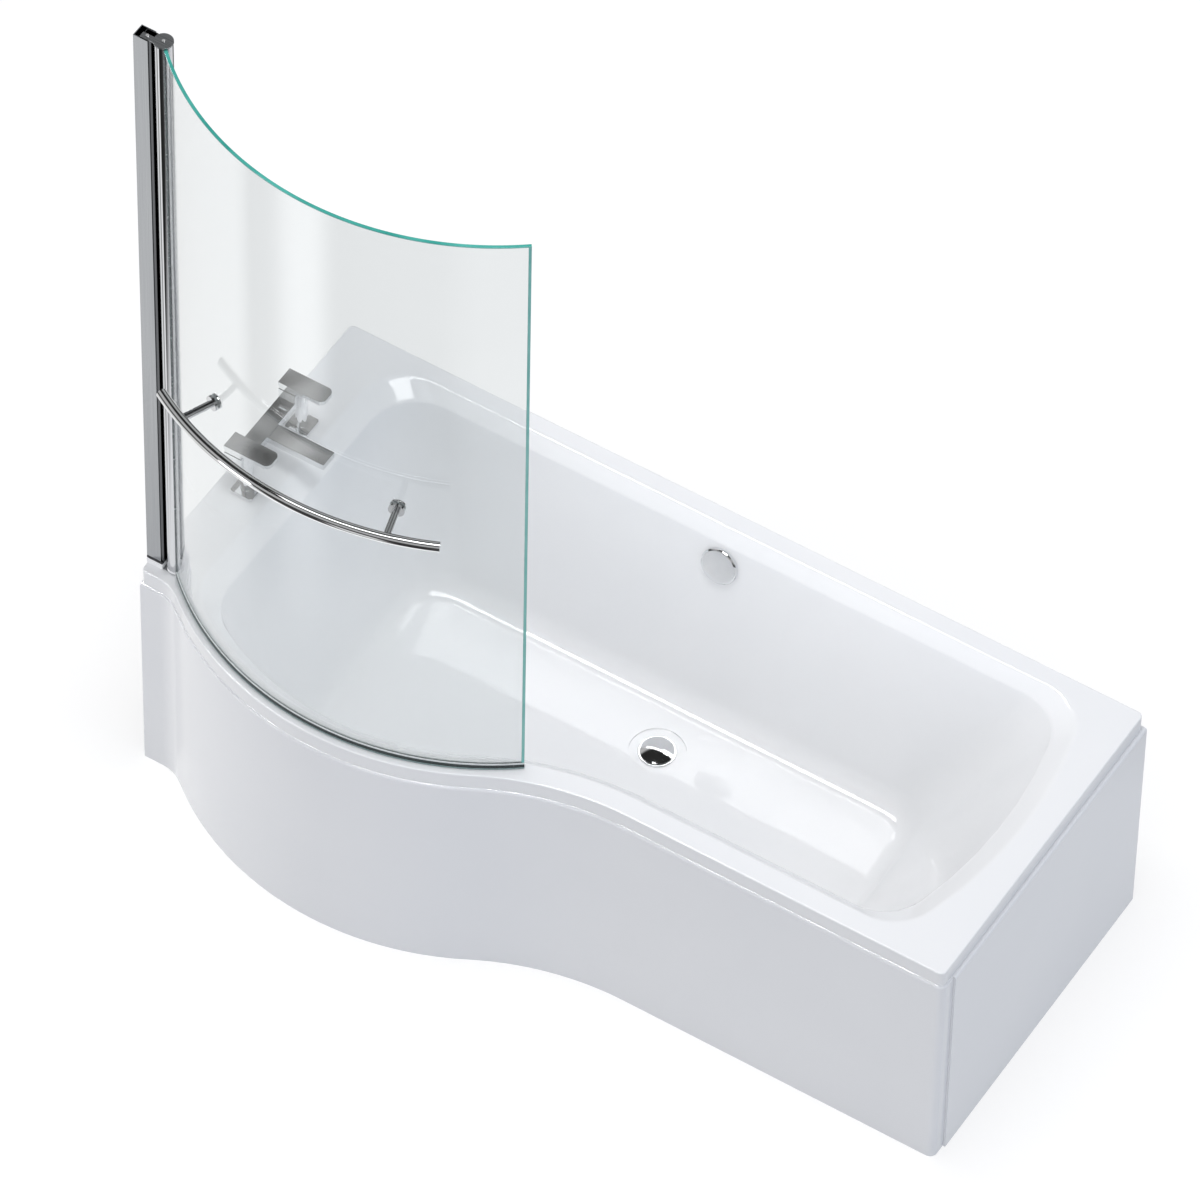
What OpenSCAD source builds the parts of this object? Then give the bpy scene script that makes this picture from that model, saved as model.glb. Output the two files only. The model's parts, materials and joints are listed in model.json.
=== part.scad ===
// P shaped shower bath with a curved hinged screen, a bridge bath filler and two panels.
// X runs along the bath from the tap end, Y runs towards the back wall, Z is up.
// Every length is in millimetres. The part is drawn from the wall corner and then moved
// so that the origin lies on the floor under the middle of the whole object.

/* [Bath outline] */
// Length of the bath from the tap end to the narrow end
bath_l = 1700; // [1640:10:1760]
// Width at the narrow end
end_w = 700; // [692:1:712]
// Width at the widest place of the bulge
bulge_w = 850; // [842:1:856]
// Height of the rim above the floor
rim_h = 543; // [530:1:560]
// Distance of the bulge centre from the tap end
bulge_x = 465; // [455:1:480]
// Radius of the bulge
bulge_r = 600; // [580:5:620]
// Radius of the hollow curve between the bulge and the straight front
ogee_r = 600; // [500:10:640]
// Radius of the small hollow curve at the tap end
tap_hollow_r = 80; // [60:5:95]
// Radius of the corners of the rim
rim_corner_r = 12; // [9:1:16]
// Height of the lip that hangs from the rim
lip_h = 36; // [30:1:40]
// Radius of the rolled top edge of the lip
lip_roll_r = 3; // [2:0.5:4]

/* [Basin] */
// Thickness of the acrylic shell
shell_t = 6; // [5.5:0.5:7]
// Height of the basin floor above the room floor
floor_z = 145; // [140:1:160]
// Width of the flat rim along the back
rim_back_w = 37; // [36:1:44]
// Width of the flat deck at the tap end
rim_tap_w = 105; // [100:1:112]
// Width of the flat rim at the narrow end
rim_end_w = 52; // [44:1:60]
// Width of the flat rim along the front
rim_front_w = 42; // [40:1:48]
// Width of the sloping band along the back and front
band_side_w = 24; // [18:1:30]
// Width of the sloping band at the two ends
band_end_w = 42; // [34:1:50]
// Drop of the sloping band
band_drop = 22; // [16:1:26]
// Inset of the floor corner from the back edge
floor_back_in = 150; // [140:1:160]
// Inset of the floor corner from the tap end
floor_tap_in = 270; // [250:1:290]
// Inset of the floor corner from the narrow end
floor_end_in = 355; // [330:1:370]
// Inset of the floor corner from the front edge
floor_front_in = 150; // [140:1:160]
// Radius between the walls and the floor
floor_fillet_r = 50; // [40:1:60]
// Radius of the basin corners at the rim
top_corner_r = 100; // [85:1:110]
// Radius of the basin corners at the floor, before the floor fillet
low_corner_r = 85; // [75:1:95]
// Radius of the bowed wall at the narrow end
bow_r = 850; // [750:10:1000]
// Distance of the middle of the bowed wall from the back edge
bow_y = 330; // [320:1:350]

/* [Waste and overflow] */
// Distance of the waste and overflow from the tap end
waste_x = 850; // [830:1:870]
// Distance of the waste from the back edge
waste_y = 278; // [270:1:300]
// Diameter of the shallow dish round the waste
dish_d = 108; // [96:1:116]
// Depth of the shallow dish
dish_depth = 3; // [2:0.5:3]
// Diameter of the hole in the basin floor
waste_hole_d = 53; // [52.5:0.5:56]
// Diameter of the chrome waste flange
waste_flange_d = 72; // [68:1:80]
// Diameter of the plug
plug_d = 64; // [60:1:65]
// Travel of the plug
plug_travel = 8; // [6:1:9]
// Depth of the overflow centre below the rim
overflow_drop = 69; // [66:1:80]
// Diameter of the overflow cover
overflow_d = 76; // [72:1:80]
// Diameter of the hole for the overflow
overflow_hole_d = 52; // [48:1:54]
// Outer diameter of the overflow pipe
pipe_d = 22; // [20:1:24]
// Bend radius of the overflow pipe
pipe_bend_r = 36; // [32:1:40]
// Outer diameter of the trap tube
trap_d = 42; // [40:1:43]
// Bend radius of the trap
trap_bend_r = 27; // [26:1:28]

/* [Legs and battens] */
// Thickness of the board under the basin
board_t = 18; // [15:1:20]
// Height of the cross bars
bar_h = 25; // [20:1:28]
// Width of the cross bars
bar_w = 30; // [26:1:40]
// Sheet thickness of the cross bars
bar_t = 2; // [1.5:0.5:3]
// Diameter of the levelling rods
rod_d = 10; // [8:1:12]
// Diameter of the foot pads
foot_d = 50; // [40:1:60]
// Inset of the cross bar ends from the back edge
bar_back_in = 60; // [55:1:70]
// Width of the timber battens under the rim
batten_w = 22; // [18:1:23]
// Height of the timber battens under the rim
batten_h = 30; // [26:1:30]

/* [Panels] */
// Thickness of the panel sheet
panel_t = 4; // [3:0.5:5]
// How far the front panel stands out from the lip
front_proud = 3; // [2:0.5:4]
// How far the end panel stands out from the lip
end_proud = 8; // [7:0.5:10]
// Radius of the rolled top edge of the panels
panel_roll_r = 6; // [5.5:0.5:8]
// Width of the front panel's return round the corner
return_w = 32; // [28:1:45]
// Depth of the flange along the top of the panels
panel_flange_w = 24; // [20:1:26]

/* [Screen] */
// Height of the glass
glass_h = 1425; // [1350:5:1450]
// Thickness of the glass
glass_t = 6; // [5:1:8]
// Distance of the middle of the glass from the edge of the bulge
glass_in = 17; // [15:1:20]
// Direction of the free edge of the glass, from the bulge centre
glass_end_a = 308.5; // [300:0.5:312]
// Clearance between the rim and the underside of the screen
screen_gap = 2; // [1:0.5:4]
// Diameter of the hinge tube
tube_d = 34; // [32:1:36]
// Wall of the hinge tube
tube_wall = 2.5; // [2:0.5:3]
// Distance of the hinge axis from the tap end wall
hinge_x = 54; // [52:1:56]
// Width of the wall channel
channel_w = 28; // [26:1:32]
// Depth of the wall channel from the wall
channel_depth = 30; // [26:1:32]
// Sheet thickness of the wall channel and the post
channel_t = 1.6; // [1.2:0.1:2]
// Diameter of the hinge pins
pin_d = 8; // [7:1:10]
// Height of the white foot under the wall channel
foot_block_h = 14; // [12:1:18]

/* [Towel rail] */
// Height of the towel rail above the rim
rail_h = 707; // [500:1:900]
// Diameter of the towel rail
rail_d = 20; // [16:1:22]
// Distance from the glass to the middle of the towel rail
rail_off = 72; // [60:1:80]
// Direction of the rail's tap side end
rail_a0 = 240; // [236:0.5:242]
// Direction of the rail's free end
rail_a1 = 294.5; // [291:0.5:298]
// Direction of the first rail post
post_a0 = 246; // [244:0.5:250]
// Direction of the second rail post
post_a1 = 286; // [282:0.5:288]
// Diameter of the rail posts
post_d = 14; // [12:1:15]
// Diameter of the rail flanges on the glass
rail_flange_d = 30; // [26:1:34]

/* [Bath filler] */
// Distance of the tap holes from the tap end
tap_x = 58; // [56:1:60]
// Distance of the middle of the filler from the back edge
filler_y = 345; // [340:1:355]
// Distance between the tap holes
tap_centres = 180; // [170:1:190]
// Diameter of the tap holes in the deck
tap_hole_d = 35; // [32:1:36]
// Diameter of the filler's pillars
pillar_d = 24; // [22:1:26]
// Height of the underside of the bridge above the deck
bridge_z = 60; // [56:1:66]
// Height of the bridge
bridge_h = 18; // [16:1:20]
// Reach of the spout from the tap holes
spout_reach = 119; // [100:1:130]
// Width of the spout
spout_w = 37; // [32:1:40]
// Thickness of the spout
spout_t = 14; // [12:1:16]
// Width of the valve blocks
block_w = 37; // [34:1:40]
// Height of the valve blocks
block_h = 40; // [38:1:44]
// Length of the lever paddles
lever_l = 98; // [85:1:105]
// Width of the lever paddles
lever_w = 39; // [38:1:44]
// Thickness of the lever paddles
lever_t = 9; // [8:1:12]

/* [Hidden] */
$fn = 96;
big_fn = 240;
hex_fn = 6;
// Play between parts that only touch, and round a pin or screw in its hole
seat = 0.2;
fit_gap = 0.05;

// ---------- plan of the rim ----------
bulge_c = [bulge_x, bulge_r - bulge_w];
ogee_y = -end_w - ogee_r;
ogee_c = [bulge_x + sqrt(pow(bulge_r + ogee_r, 2) - pow(bulge_c.y - ogee_y, 2)), ogee_y];
hollow_y = -end_w - tap_hollow_r;
hollow_c = [bulge_x - sqrt(pow(bulge_r + tap_hollow_r, 2) - pow(bulge_c.y - hollow_y, 2)), hollow_y];
// Directions, seen from the bulge centre, in which the bulge meets the hollow curves
ogee_a = 360 + atan2(ogee_c.y - bulge_c.y, ogee_c.x - bulge_c.x);
hollow_a = 360 + atan2(hollow_c.y - bulge_c.y, hollow_c.x - bulge_c.x);

// ---------- sides in the order back, tap end, narrow end, front ----------
rim_in = [rim_back_w, rim_tap_w, rim_end_w, rim_front_w];
band_in = rim_in + [band_side_w, band_end_w, band_end_w, band_side_w];
floor_in = [floor_back_in, floor_tap_in, floor_end_in, floor_front_in];
band_z = rim_h - band_drop;
wall_slope = (floor_in - band_in) / (band_z - floor_z);

// ---------- whole object ----------
rail_r = bulge_r - glass_in + rail_off;
shift_x = -(bath_l + end_proud) / 2;
shift_y = (rail_r + rail_d / 2 - bulge_c.y) / 2;

module home() {
    translate([shift_x, shift_y, 0]) children();
}

// ---------- outlines as points ----------
corner_n = 8;
bulge_n = 30;
ogee_n = 14;
bow_n = 6;
hollow_n = 6;
tap_corner_n = corner_n + 2;

// Points on an arc from direction a0 to a1; the last point is left out when skip is 1
function arc(c, r, a0, a1, n, skip = 0) =
    [for (i = [0 : n - skip]) c + r * [cos(a0 + (a1 - a0) * i / n), sin(a0 + (a1 - a0) * i / n)]];

// The outer edge of the rim, moved inwards by e
function rim_outline(e) = let (
        r = rim_corner_r,
        far_x = bath_l - r,
        near_y = -end_w + r,
        end_y0 = near_y,
        end_y1 = -r
    ) concat(
        arc([r, -r], r - e, 90, 180, corner_n),
        arc([r, near_y], r - e, 180, 270, tap_corner_n - hollow_n - 1),
        arc(hollow_c, tap_hollow_r + e, 90, hollow_a - 180, hollow_n, 1),
        arc(bulge_c, bulge_r - e, hollow_a, ogee_a, bulge_n, 1),
        arc(ogee_c, ogee_r + e, ogee_a - 180, 90, ogee_n),
        arc([far_x, near_y], r - e, 270, 360, corner_n - 1),
        [for (i = [1 : bow_n]) [bath_l - e, end_y0 + (end_y1 - end_y0) * i / (bow_n + 1)]],
        arc([far_x, -r], r - e, 0, 90, corner_n)
    );

// A closed curve inside the rim, with its inset on each side and its corner radius
function basin_outline(inset, r) = let (
        front_r = bulge_r - inset[3],
        tap_c_x = inset[1] + r,
        tap_c_y = bulge_c.y - sqrt(pow(front_r - r, 2) - pow(tap_c_x - bulge_c.x, 2)),
        tap_a = 360 + atan2(tap_c_y - bulge_c.y, tap_c_x - bulge_c.x),
        bow_c = [bath_l - inset[2] - bow_r, -bow_y],
        near_y = -end_w + inset[3] + r,
        near_x = bow_c.x + sqrt(pow(bow_r - r, 2) - pow(near_y - bow_c.y, 2)),
        near_a = atan2(near_y - bow_c.y, near_x - bow_c.x),
        back_y = -inset[0] - r,
        back_x = bow_c.x + sqrt(pow(bow_r - r, 2) - pow(back_y - bow_c.y, 2)),
        back_a = atan2(back_y - bow_c.y, back_x - bow_c.x)
    ) concat(
        arc([inset[1] + r, back_y], r, 90, 180, corner_n),
        arc([tap_c_x, tap_c_y], r, 180, tap_a, tap_corner_n, 1),
        arc(bulge_c, front_r, tap_a, ogee_a, bulge_n, 1),
        arc(ogee_c, ogee_r + inset[3], ogee_a - 180, 90, ogee_n),
        arc([near_x, near_y], r, 270, 360 + near_a, corner_n, 1),
        arc(bow_c, bow_r, near_a, back_a, bow_n, 1),
        arc([back_x, back_y], r, back_a, 90, corner_n)
    );

// ---------- wall of the basin ----------
// Inset of the wall at height z for side i; grow is 0 inside and shell_t outside
function wall_side(i, z, grow) = let (
        lean = atan(wall_slope[i]),
        foot = floor_fillet_r * tan((90 - lean) / 2),
        r = floor_fillet_r + grow,
        centre_z = floor_z + floor_fillet_r
    )
    z >= centre_z - r * sin(lean)
        ? floor_in[i] - wall_slope[i] * (z - floor_z) - grow / cos(lean)
        : floor_in[i] + foot - sqrt(max(0, r * r - pow(centre_z - z, 2)));

function wall_inset(z, grow = 0) = [for (i = [0 : 3]) wall_side(i, z, grow)];

// How far the floor fillet has drawn the back wall in at height z
function wall_draw(z) = wall_side(0, max(z, floor_z), 0) - floor_in[0]
    + wall_slope[0] * (max(z, floor_z) - floor_z);

function wall_corner_r(z) = low_corner_r
    + (top_corner_r - low_corner_r) * (z - floor_z) / (band_z - floor_z) - wall_draw(z);

function at_z(outline, z) = [for (p = outline) [p.x, p.y, z]];

function wall_ring(z, grow = 0) =
    at_z(basin_outline(wall_inset(z, grow), wall_corner_r(z) + grow), z);

// ---------- sloping band below the rim; u runs from 0 at the rim to 1 at the wall ----------
band_soft = 0.14;
function band_inset(u) = rim_in + u * (band_in - rim_in);
function soft(a, b, c) = 0.25 * a + 0.5 * b + 0.25 * c;
band_foot_z = band_z - band_soft * band_drop;
function band_ring(u, drop) = at_z(basin_outline(band_inset(u), top_corner_r), rim_h - drop);

fillet_steps = 6;
fillet_z = [for (i = [0 : fillet_steps]) floor_z
    + floor_fillet_r * (1 - cos(90 * i / (fillet_steps + 0.5)))];
wall_mid_z = (band_z + floor_z) / 2;

inner_rings = concat(
    [for (z = fillet_z) wall_ring(z)],
    [wall_ring(wall_mid_z), wall_ring(band_foot_z)],
    [at_z(basin_outline(
        soft(wall_inset(band_foot_z), band_in, band_inset(1 - band_soft)),
        wall_corner_r(band_z)), soft(band_foot_z, band_z, rim_h - (1 - band_soft) * band_drop))],
    [band_ring(1 - band_soft, (1 - band_soft) * band_drop)],
    [band_ring(band_soft, band_soft * band_drop)],
    [band_ring(0, band_soft * band_drop / 4)],
    [band_ring(-band_soft, 0)]
);

roll_steps = 3;
rim_rings = concat(
    [for (i = [0 : roll_steps]) let (a = 90 * i / roll_steps)
        at_z(rim_outline(lip_roll_r * (1 - sin(a))), rim_h - lip_roll_r * (1 - cos(a)))],
    [
        at_z(rim_outline(0), rim_h - lip_h),
        at_z(rim_outline(shell_t), rim_h - lip_h),
        at_z(rim_outline(shell_t), rim_h - shell_t)
    ]
);

outer_rings = concat(
    [at_z(basin_outline(rim_in - shell_t * [1, 1, 1, 1], top_corner_r + shell_t), rim_h - shell_t)],
    [wall_ring(band_z - shell_t / 2, shell_t), wall_ring(wall_mid_z, shell_t)],
    [for (i = [fillet_steps : -1 : 1]) wall_ring(fillet_z[i] - shell_t / 2, shell_t)],
    [wall_ring(floor_z - shell_t, shell_t)]
);

// Closed skin through a list of rings that all have the same number of points
module lofted(rings) {
    n = len(rings[0]);
    last = len(rings) - 1;
    points = [for (ring = rings) each ring];
    sides = [for (k = [0 : last - 1]) for (i = [0 : n - 1]) let (
            j = (i + 1) % n,
            a = k * n + i,
            b = k * n + j,
            c = (k + 1) * n + j,
            d = (k + 1) * n + i
        ) each [[a, b, c], [a, c, d]]];
    first_cap = [for (i = [n - 1 : -1 : 0]) i];
    last_cap = [for (i = [0 : n - 1]) last * n + i];
    polyhedron(points, concat(sides, [first_cap, last_cap]));
}

// ---------- where the fittings sit ----------
waste_pos = [waste_x, -waste_y];
overflow_z = rim_h - overflow_drop;
overflow_in = wall_side(0, overflow_z, 0);
overflow_lean = atan(wall_slope[0]);
tap_ys = [for (s = [1, -1]) -filler_y + s * tap_centres / 2];

// Local Z points from the back wall into the basin, square to the wall
module at_overflow() {
    translate([waste_x, -overflow_in, overflow_z]) rotate([90 - overflow_lean, 0, 0]) children();
}

// ---------- bath ----------
module bath_shell() {
    color("white") home() difference() {
        lofted(concat(inner_rings, rim_rings, outer_rings));
        translate([waste_pos.x, waste_pos.y, floor_z - dish_depth])
            cylinder(d = dish_d, h = shell_t);
        translate([waste_pos.x, waste_pos.y, floor_z - 2 * shell_t])
            cylinder(d = waste_hole_d, h = 4 * shell_t);
        at_overflow() translate([0, 0, -2 * shell_t]) cylinder(d = overflow_hole_d, h = 4 * shell_t);
        for (y = tap_ys) translate([tap_x, y, rim_h - 2 * shell_t])
            cylinder(d = tap_hole_d, h = 4 * shell_t);
    }
}

// ---------- runs of a profile round the front of the bath ----------
// In each profile X is how far out from the edge of the rim and Y is the height.
module along_front(x0, x1) {
    translate([x0, -end_w, 0]) rotate([90, 0, 90]) linear_extrude(x1 - x0) mirror([1, 0]) children();
}

module along_end(y0, y1) {
    translate([bath_l, y1, 0]) rotate([90, 0, 0]) linear_extrude(y1 - y0) children();
}

module round_bulge(a0, a1) {
    translate([bulge_c.x, bulge_c.y, 0])
        rotate_extrude(start = a0, angle = a1 - a0, $fn = big_fn) translate([bulge_r, 0]) children();
}

// ---------- panels ----------
panel_gap = 0.6;
panel_top_z = rim_h - lip_h - panel_gap;
roll_z = panel_top_z - panel_roll_r;
panel_roll_n = 4;
corner_taper = 10;

// Section of a panel: up the outer face, over the rolled edge, along the flange and back inside
function panel_section(proud, flange) = let (
        c = [proud - panel_roll_r, roll_z]
    ) concat(
        [[proud, 0]],
        arc(c, panel_roll_r, 0, 90, panel_roll_n),
        [[proud - flange, panel_top_z], [proud - flange, panel_top_z - panel_t]],
        arc(c, panel_roll_r - panel_t, 90, 0, panel_roll_n / 2),
        [[proud - panel_t, 0]]
    );

// Line along the front at distance out from the edge of the rim; round the corner, where the
// flange is narrow, it stays within least
function front_path(out, least) = let (
        near = max(out, least),
        corner = [bath_l - rim_corner_r, -end_w + rim_corner_r]
    ) concat(
        [[0, -end_w - out]],
        arc(hollow_c, tap_hollow_r - out, 90, hollow_a - 180, hollow_n, 1),
        arc(bulge_c, bulge_r + out, hollow_a, ogee_a, bulge_n, 1),
        arc(ogee_c, ogee_r - out, ogee_a - 180, 90, ogee_n),
        [[corner.x - corner_taper, -end_w - out]],
        arc(corner, rim_corner_r + near, 270, 360, corner_n),
        [[bath_l + near, -end_w + return_w]]
    );

module front_panel() {
    section = panel_section(front_proud, panel_flange_w);
    paths = [for (p = section) front_path(p.x, 1 - rim_corner_r)];
    color("white") home() lofted([for (i = [0 : len(paths[0]) - 1])
        [for (k = [0 : len(section) - 1]) [paths[k][i].x, paths[k][i].y, section[k].y]]]);
}

module end_panel() {
    y0 = -end_w + return_w + seat;
    side_w = end_proud + rim_corner_r;
    color("white") home() {
        along_end(y0, 0) polygon(panel_section(end_proud, panel_flange_w + end_proud - front_proud));
        translate([bath_l + end_proud - side_w, y0, 0])
            cube([side_w - panel_t / 2, panel_t, roll_z]);
    }
}

// Steel angles that hold the panel flanges up under the battens
clip_t = 1.5;
clip_l = 40;
clip_h = 28;
clip_xs = [for (i = [1 : 3]) ogee_c.x + (bath_l - ogee_c.x) * i / 4];
clip_as = [250, 285];
clip_ys = [-end_w / 3, -end_w * 2 / 3];

clip_foot = 16;
clip_screw_d = 3.5;
clip_screw_l = 15;
clip_foot_z = panel_top_z - panel_t - seat - clip_t;
clip_screw_z = clip_foot_z + clip_h * 0.65;
batten_gap = 1;
clip_in = shell_t + batten_gap + batten_w + seat;

module clip_profile() {
    translate([-clip_in - clip_t, clip_foot_z]) square([clip_t, clip_h]);
    translate([-clip_in - clip_t, clip_foot_z]) square([clip_foot, clip_t]);
}

// Puts something at each clip screw; local Z points outwards and starts at the edge of the rim
module at_clip_screws() {
    for (x = clip_xs) translate([x, -end_w, clip_screw_z]) rotate([90, 0, 0]) children();
    for (y = clip_ys) translate([bath_l, y, clip_screw_z]) rotate([0, 90, 0]) children();
    for (a = clip_as) translate([bulge_c.x, bulge_c.y, clip_screw_z]) rotate([0, 0, a])
        translate([bulge_r, 0, 0]) rotate([0, 90, 0]) children();
}

module clip_screw_holes() {
    at_clip_screws() translate([0, 0, -clip_in - 2 * clip_t])
        cylinder(d = clip_screw_d + 2 * fit_gap, h = clip_screw_l + 2 * clip_t);
}

module panel_clips() {
    color("silver") home() difference() {
        union() {
            for (x = clip_xs) along_front(x - clip_l / 2, x + clip_l / 2) clip_profile();
            for (y = clip_ys) along_end(y - clip_l / 2, y + clip_l / 2) clip_profile();
            for (a = clip_as) round_bulge(a - 2, a + 2) clip_profile();
        }
        clip_screw_holes();
    }
}

module clip_screws() {
    head_h = 2;
    color("silver") home() at_clip_screws() translate([0, 0, -clip_in - clip_t - seat - head_h]) {
        cylinder(d = 2 * clip_screw_d, h = head_h);
        cylinder(d = clip_screw_d, h = clip_screw_l);
    }
}

// ---------- battens under the rim ----------
batten_end_gap = 40;

module batten_profile() {
    translate([-shell_t - batten_gap - batten_w, rim_h - shell_t - seat - batten_h])
        square([batten_w, batten_h]);
}

module batten_front() {
    color("burlywood") home() difference() {
        along_front(ogee_c.x, bath_l - batten_end_gap) batten_profile();
        clip_screw_holes();
    }
}

module batten_bulge() {
    color("burlywood") home() difference() {
        round_bulge(hollow_a + 8, ogee_a - 2) batten_profile();
        clip_screw_holes();
    }
}

module batten_end() {
    color("burlywood") home() difference() {
        along_end(-end_w + batten_end_gap, -batten_end_gap) batten_profile();
        clip_screw_holes();
    }
}

module batten_back() {
    color("burlywood") home() difference() {
        translate([rim_tap_w, -end_w, 0]) mirror([0, 1, 0])
            along_front(0, bath_l - rim_tap_w - batten_end_gap) batten_profile();
        at_bracket_screws() cylinder(d = batten_screw_d + 2 * fit_gap, h = batten_screw_l);
    }
}

module batten_tap() {
    color("burlywood") home() translate([bath_l, 0, 0]) mirror([1, 0, 0])
        along_end(-end_w + batten_end_gap, -batten_end_gap) batten_profile();
}

// ---------- board, cross bars and feet ----------
board_in = 45;
board_top_z = floor_z - shell_t - seat;
board_x0 = floor_tap_in + board_in;
board_x1 = bath_l - floor_end_in - board_in;
board_y0 = -end_w + floor_front_in + board_in;
board_y1 = -floor_back_in - board_in;
notch_w = 140;
bar_top_z = board_top_z - board_t - seat;
bar_xs = [board_x0 + 65, waste_x - 160, board_x1 - 55];
bar_front_in = 45;
rod_in = 20;
bar_screw_d = 4.4;
bar_screw_l = 16;
bar_screw_ys = [board_y0 + 45, board_y1 - 45];

// Edge of the rim at the front, at distance x from the tap end
function front_y(x) = x > ogee_c.x ? -end_w
    : x > bulge_c.x + bulge_r * cos(ogee_a) ? ogee_c.y + sqrt(pow(ogee_r, 2) - pow(x - ogee_c.x, 2))
    : bulge_c.y - sqrt(pow(bulge_r, 2) - pow(x - bulge_c.x, 2));

function bar_y0(x) = front_y(x) + bar_front_in;
bar_y1 = -bar_back_in;
foot_ps = [for (x = bar_xs) each [[x, bar_y0(x) + rod_in], [x, bar_y1 - rod_in]]];

module base_board() {
    color("burlywood") home() difference() {
        translate([board_x0, board_y0, board_top_z - board_t])
            cube([board_x1 - board_x0, board_y1 - board_y0, board_t]);
        translate([waste_x - notch_w / 2, -waste_y - notch_w / 2, board_top_z - board_t - 1])
            cube([notch_w, waste_y, board_t + 2]);
        for (x = bar_xs) for (y = bar_screw_ys) translate([x, y, board_top_z - board_t - 1])
            cylinder(d = bar_screw_d + 2 * fit_gap, h = bar_screw_l);
    }
}

// Channel that opens downwards, with a hole for a levelling rod near each end
module cross_bar(x) {
    y0 = bar_y0(x);
    color("silver") home() difference() {
        translate([x - bar_w / 2, y0, bar_top_z - bar_h]) cube([bar_w, bar_y1 - y0, bar_h]);
        translate([x - bar_w / 2 + bar_t, y0 - 1, bar_top_z - bar_h - 1])
            cube([bar_w - 2 * bar_t, bar_y1 - y0 + 2, bar_h - bar_t + 1]);
        for (y = [y0 + rod_in, bar_y1 - rod_in]) translate([x, y, bar_top_z - bar_h])
            cylinder(d = rod_d + 2 * fit_gap, h = 2 * bar_h);
        for (y = bar_screw_ys) translate([x, y, bar_top_z - bar_h])
            cylinder(d = bar_screw_d + 2 * fit_gap, h = 2 * bar_h);
    }
}

module cross_bar_tap() { cross_bar(bar_xs[0]); }
module cross_bar_mid() { cross_bar(bar_xs[1]); }
module cross_bar_end() { cross_bar(bar_xs[2]); }

module bar_screws() {
    head_h = 2.5;
    color("silver") home() for (x = bar_xs) for (y = bar_screw_ys)
        translate([x, y, bar_top_z - bar_t - seat - head_h]) {
            cylinder(d = 2 * bar_screw_d, h = head_h);
            cylinder(d = bar_screw_d, h = head_h + bar_screw_l - 2);
        }
}

pad_t = 6;
hub_h = 14;
rod_z0 = 4;
rod_top = 28;

module foot_pads() {
    color("dimgray") home() for (p = foot_ps) translate([p.x, p.y, 0]) difference() {
        union() {
            cylinder(d = foot_d, h = pad_t);
            cylinder(d = 2.2 * rod_d, h = hub_h);
        }
        translate([0, 0, rod_z0]) cylinder(d = rod_d + 2 * fit_gap, h = hub_h);
    }
}

module levelling_rods() {
    color("silver") home() for (p = foot_ps) translate([p.x, p.y, rod_z0 + seat])
        cylinder(d = rod_d, h = bar_top_z + rod_top - rod_z0);
}

nut_h = 8;
module rod_nuts() {
    color("silver") home() for (p = foot_ps)
        for (z = [bar_top_z + seat, bar_top_z - bar_t - seat - nut_h])
            translate([p.x, p.y, z]) difference() {
                cylinder(d = 2 * rod_d, h = nut_h, $fn = hex_fn);
                translate([0, 0, -1]) cylinder(d = rod_d + 2 * fit_gap, h = nut_h + 2);
            }
}

// ---------- brackets that hold the back of the bath to the wall ----------
bracket_xs = [350, 1350];
bracket_w = 40;
bracket_t = 2;
bracket_drop = 55;
bracket_hole_d = 7;
bracket_hole_drop = 38;
bracket_top_z = rim_h - shell_t - 2 * seat - batten_h;
bracket_reach = shell_t + batten_gap + batten_w;
batten_screw_d = 4;
batten_screw_l = 18;

// Local origin is on the underside of a bracket's top leg, 1 below it
module at_bracket_screws() {
    for (x = bracket_xs) for (side = [-1, 1])
        translate([x + side * bracket_w / 4, -bracket_reach + batten_w / 2, bracket_top_z - bracket_t - 1])
            children();
}

module wall_brackets() {
    color("silver") home() difference() {
        for (x = bracket_xs) {
            translate([x - bracket_w / 2, -bracket_t, bracket_top_z - bracket_drop])
                cube([bracket_w, bracket_t, bracket_drop]);
            translate([x - bracket_w / 2, -bracket_reach, bracket_top_z - bracket_t])
                cube([bracket_w, bracket_reach, bracket_t]);
        }
        for (x = bracket_xs) translate([x, 1, bracket_top_z - bracket_hole_drop]) rotate([90, 0, 0])
            cylinder(d = bracket_hole_d, h = bracket_t + 2);
        at_bracket_screws() cylinder(d = batten_screw_d + 2 * fit_gap, h = bracket_t + 2);
    }
}

module bracket_screws() {
    head_h = 2.2;
    color("silver") home() at_bracket_screws() translate([0, 0, 1 - seat - head_h]) {
        cylinder(d = 2 * batten_screw_d, h = head_h);
        cylinder(d = batten_screw_d, h = batten_screw_l - 1);
    }
}

// ---------- waste ----------
dish_z = floor_z - dish_depth;
flange_t = 3;
flange_top_z = dish_z + seat + flange_t;
neck_r = waste_hole_d / 2 - 1.5;
neck_wall = 4;
neck_z0 = floor_z - 27;
boss_r = 8;
boss_h = 6;
boss_z = neck_z0 + 4;
cartridge_r = 5;
shell_under_z = floor_z - shell_t;
gasket_t = 2.6;
body_flange_t = 4;
body_top_z = shell_under_z - 2 * seat - gasket_t;
body_flange_r = waste_flange_d / 2 + 2;
thread_z = neck_z0 - 1;
body_r = neck_r + 4;
spigot_r = 23.9;
spigot_bore_r = 20;
spigot_z0 = 70;
spigot_z1 = 84;
pipe_z = 100;
pipe_r = pipe_d / 2;
pipe_wall = 1.5;
socket_r = pipe_r + 3.5;
socket_depth = 14;
pipe_end_y = -waste_y + body_r + 13;
pipe_back = 50;

module at_waste() {
    translate([waste_pos.x, waste_pos.y, 0]) children();
}

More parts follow.
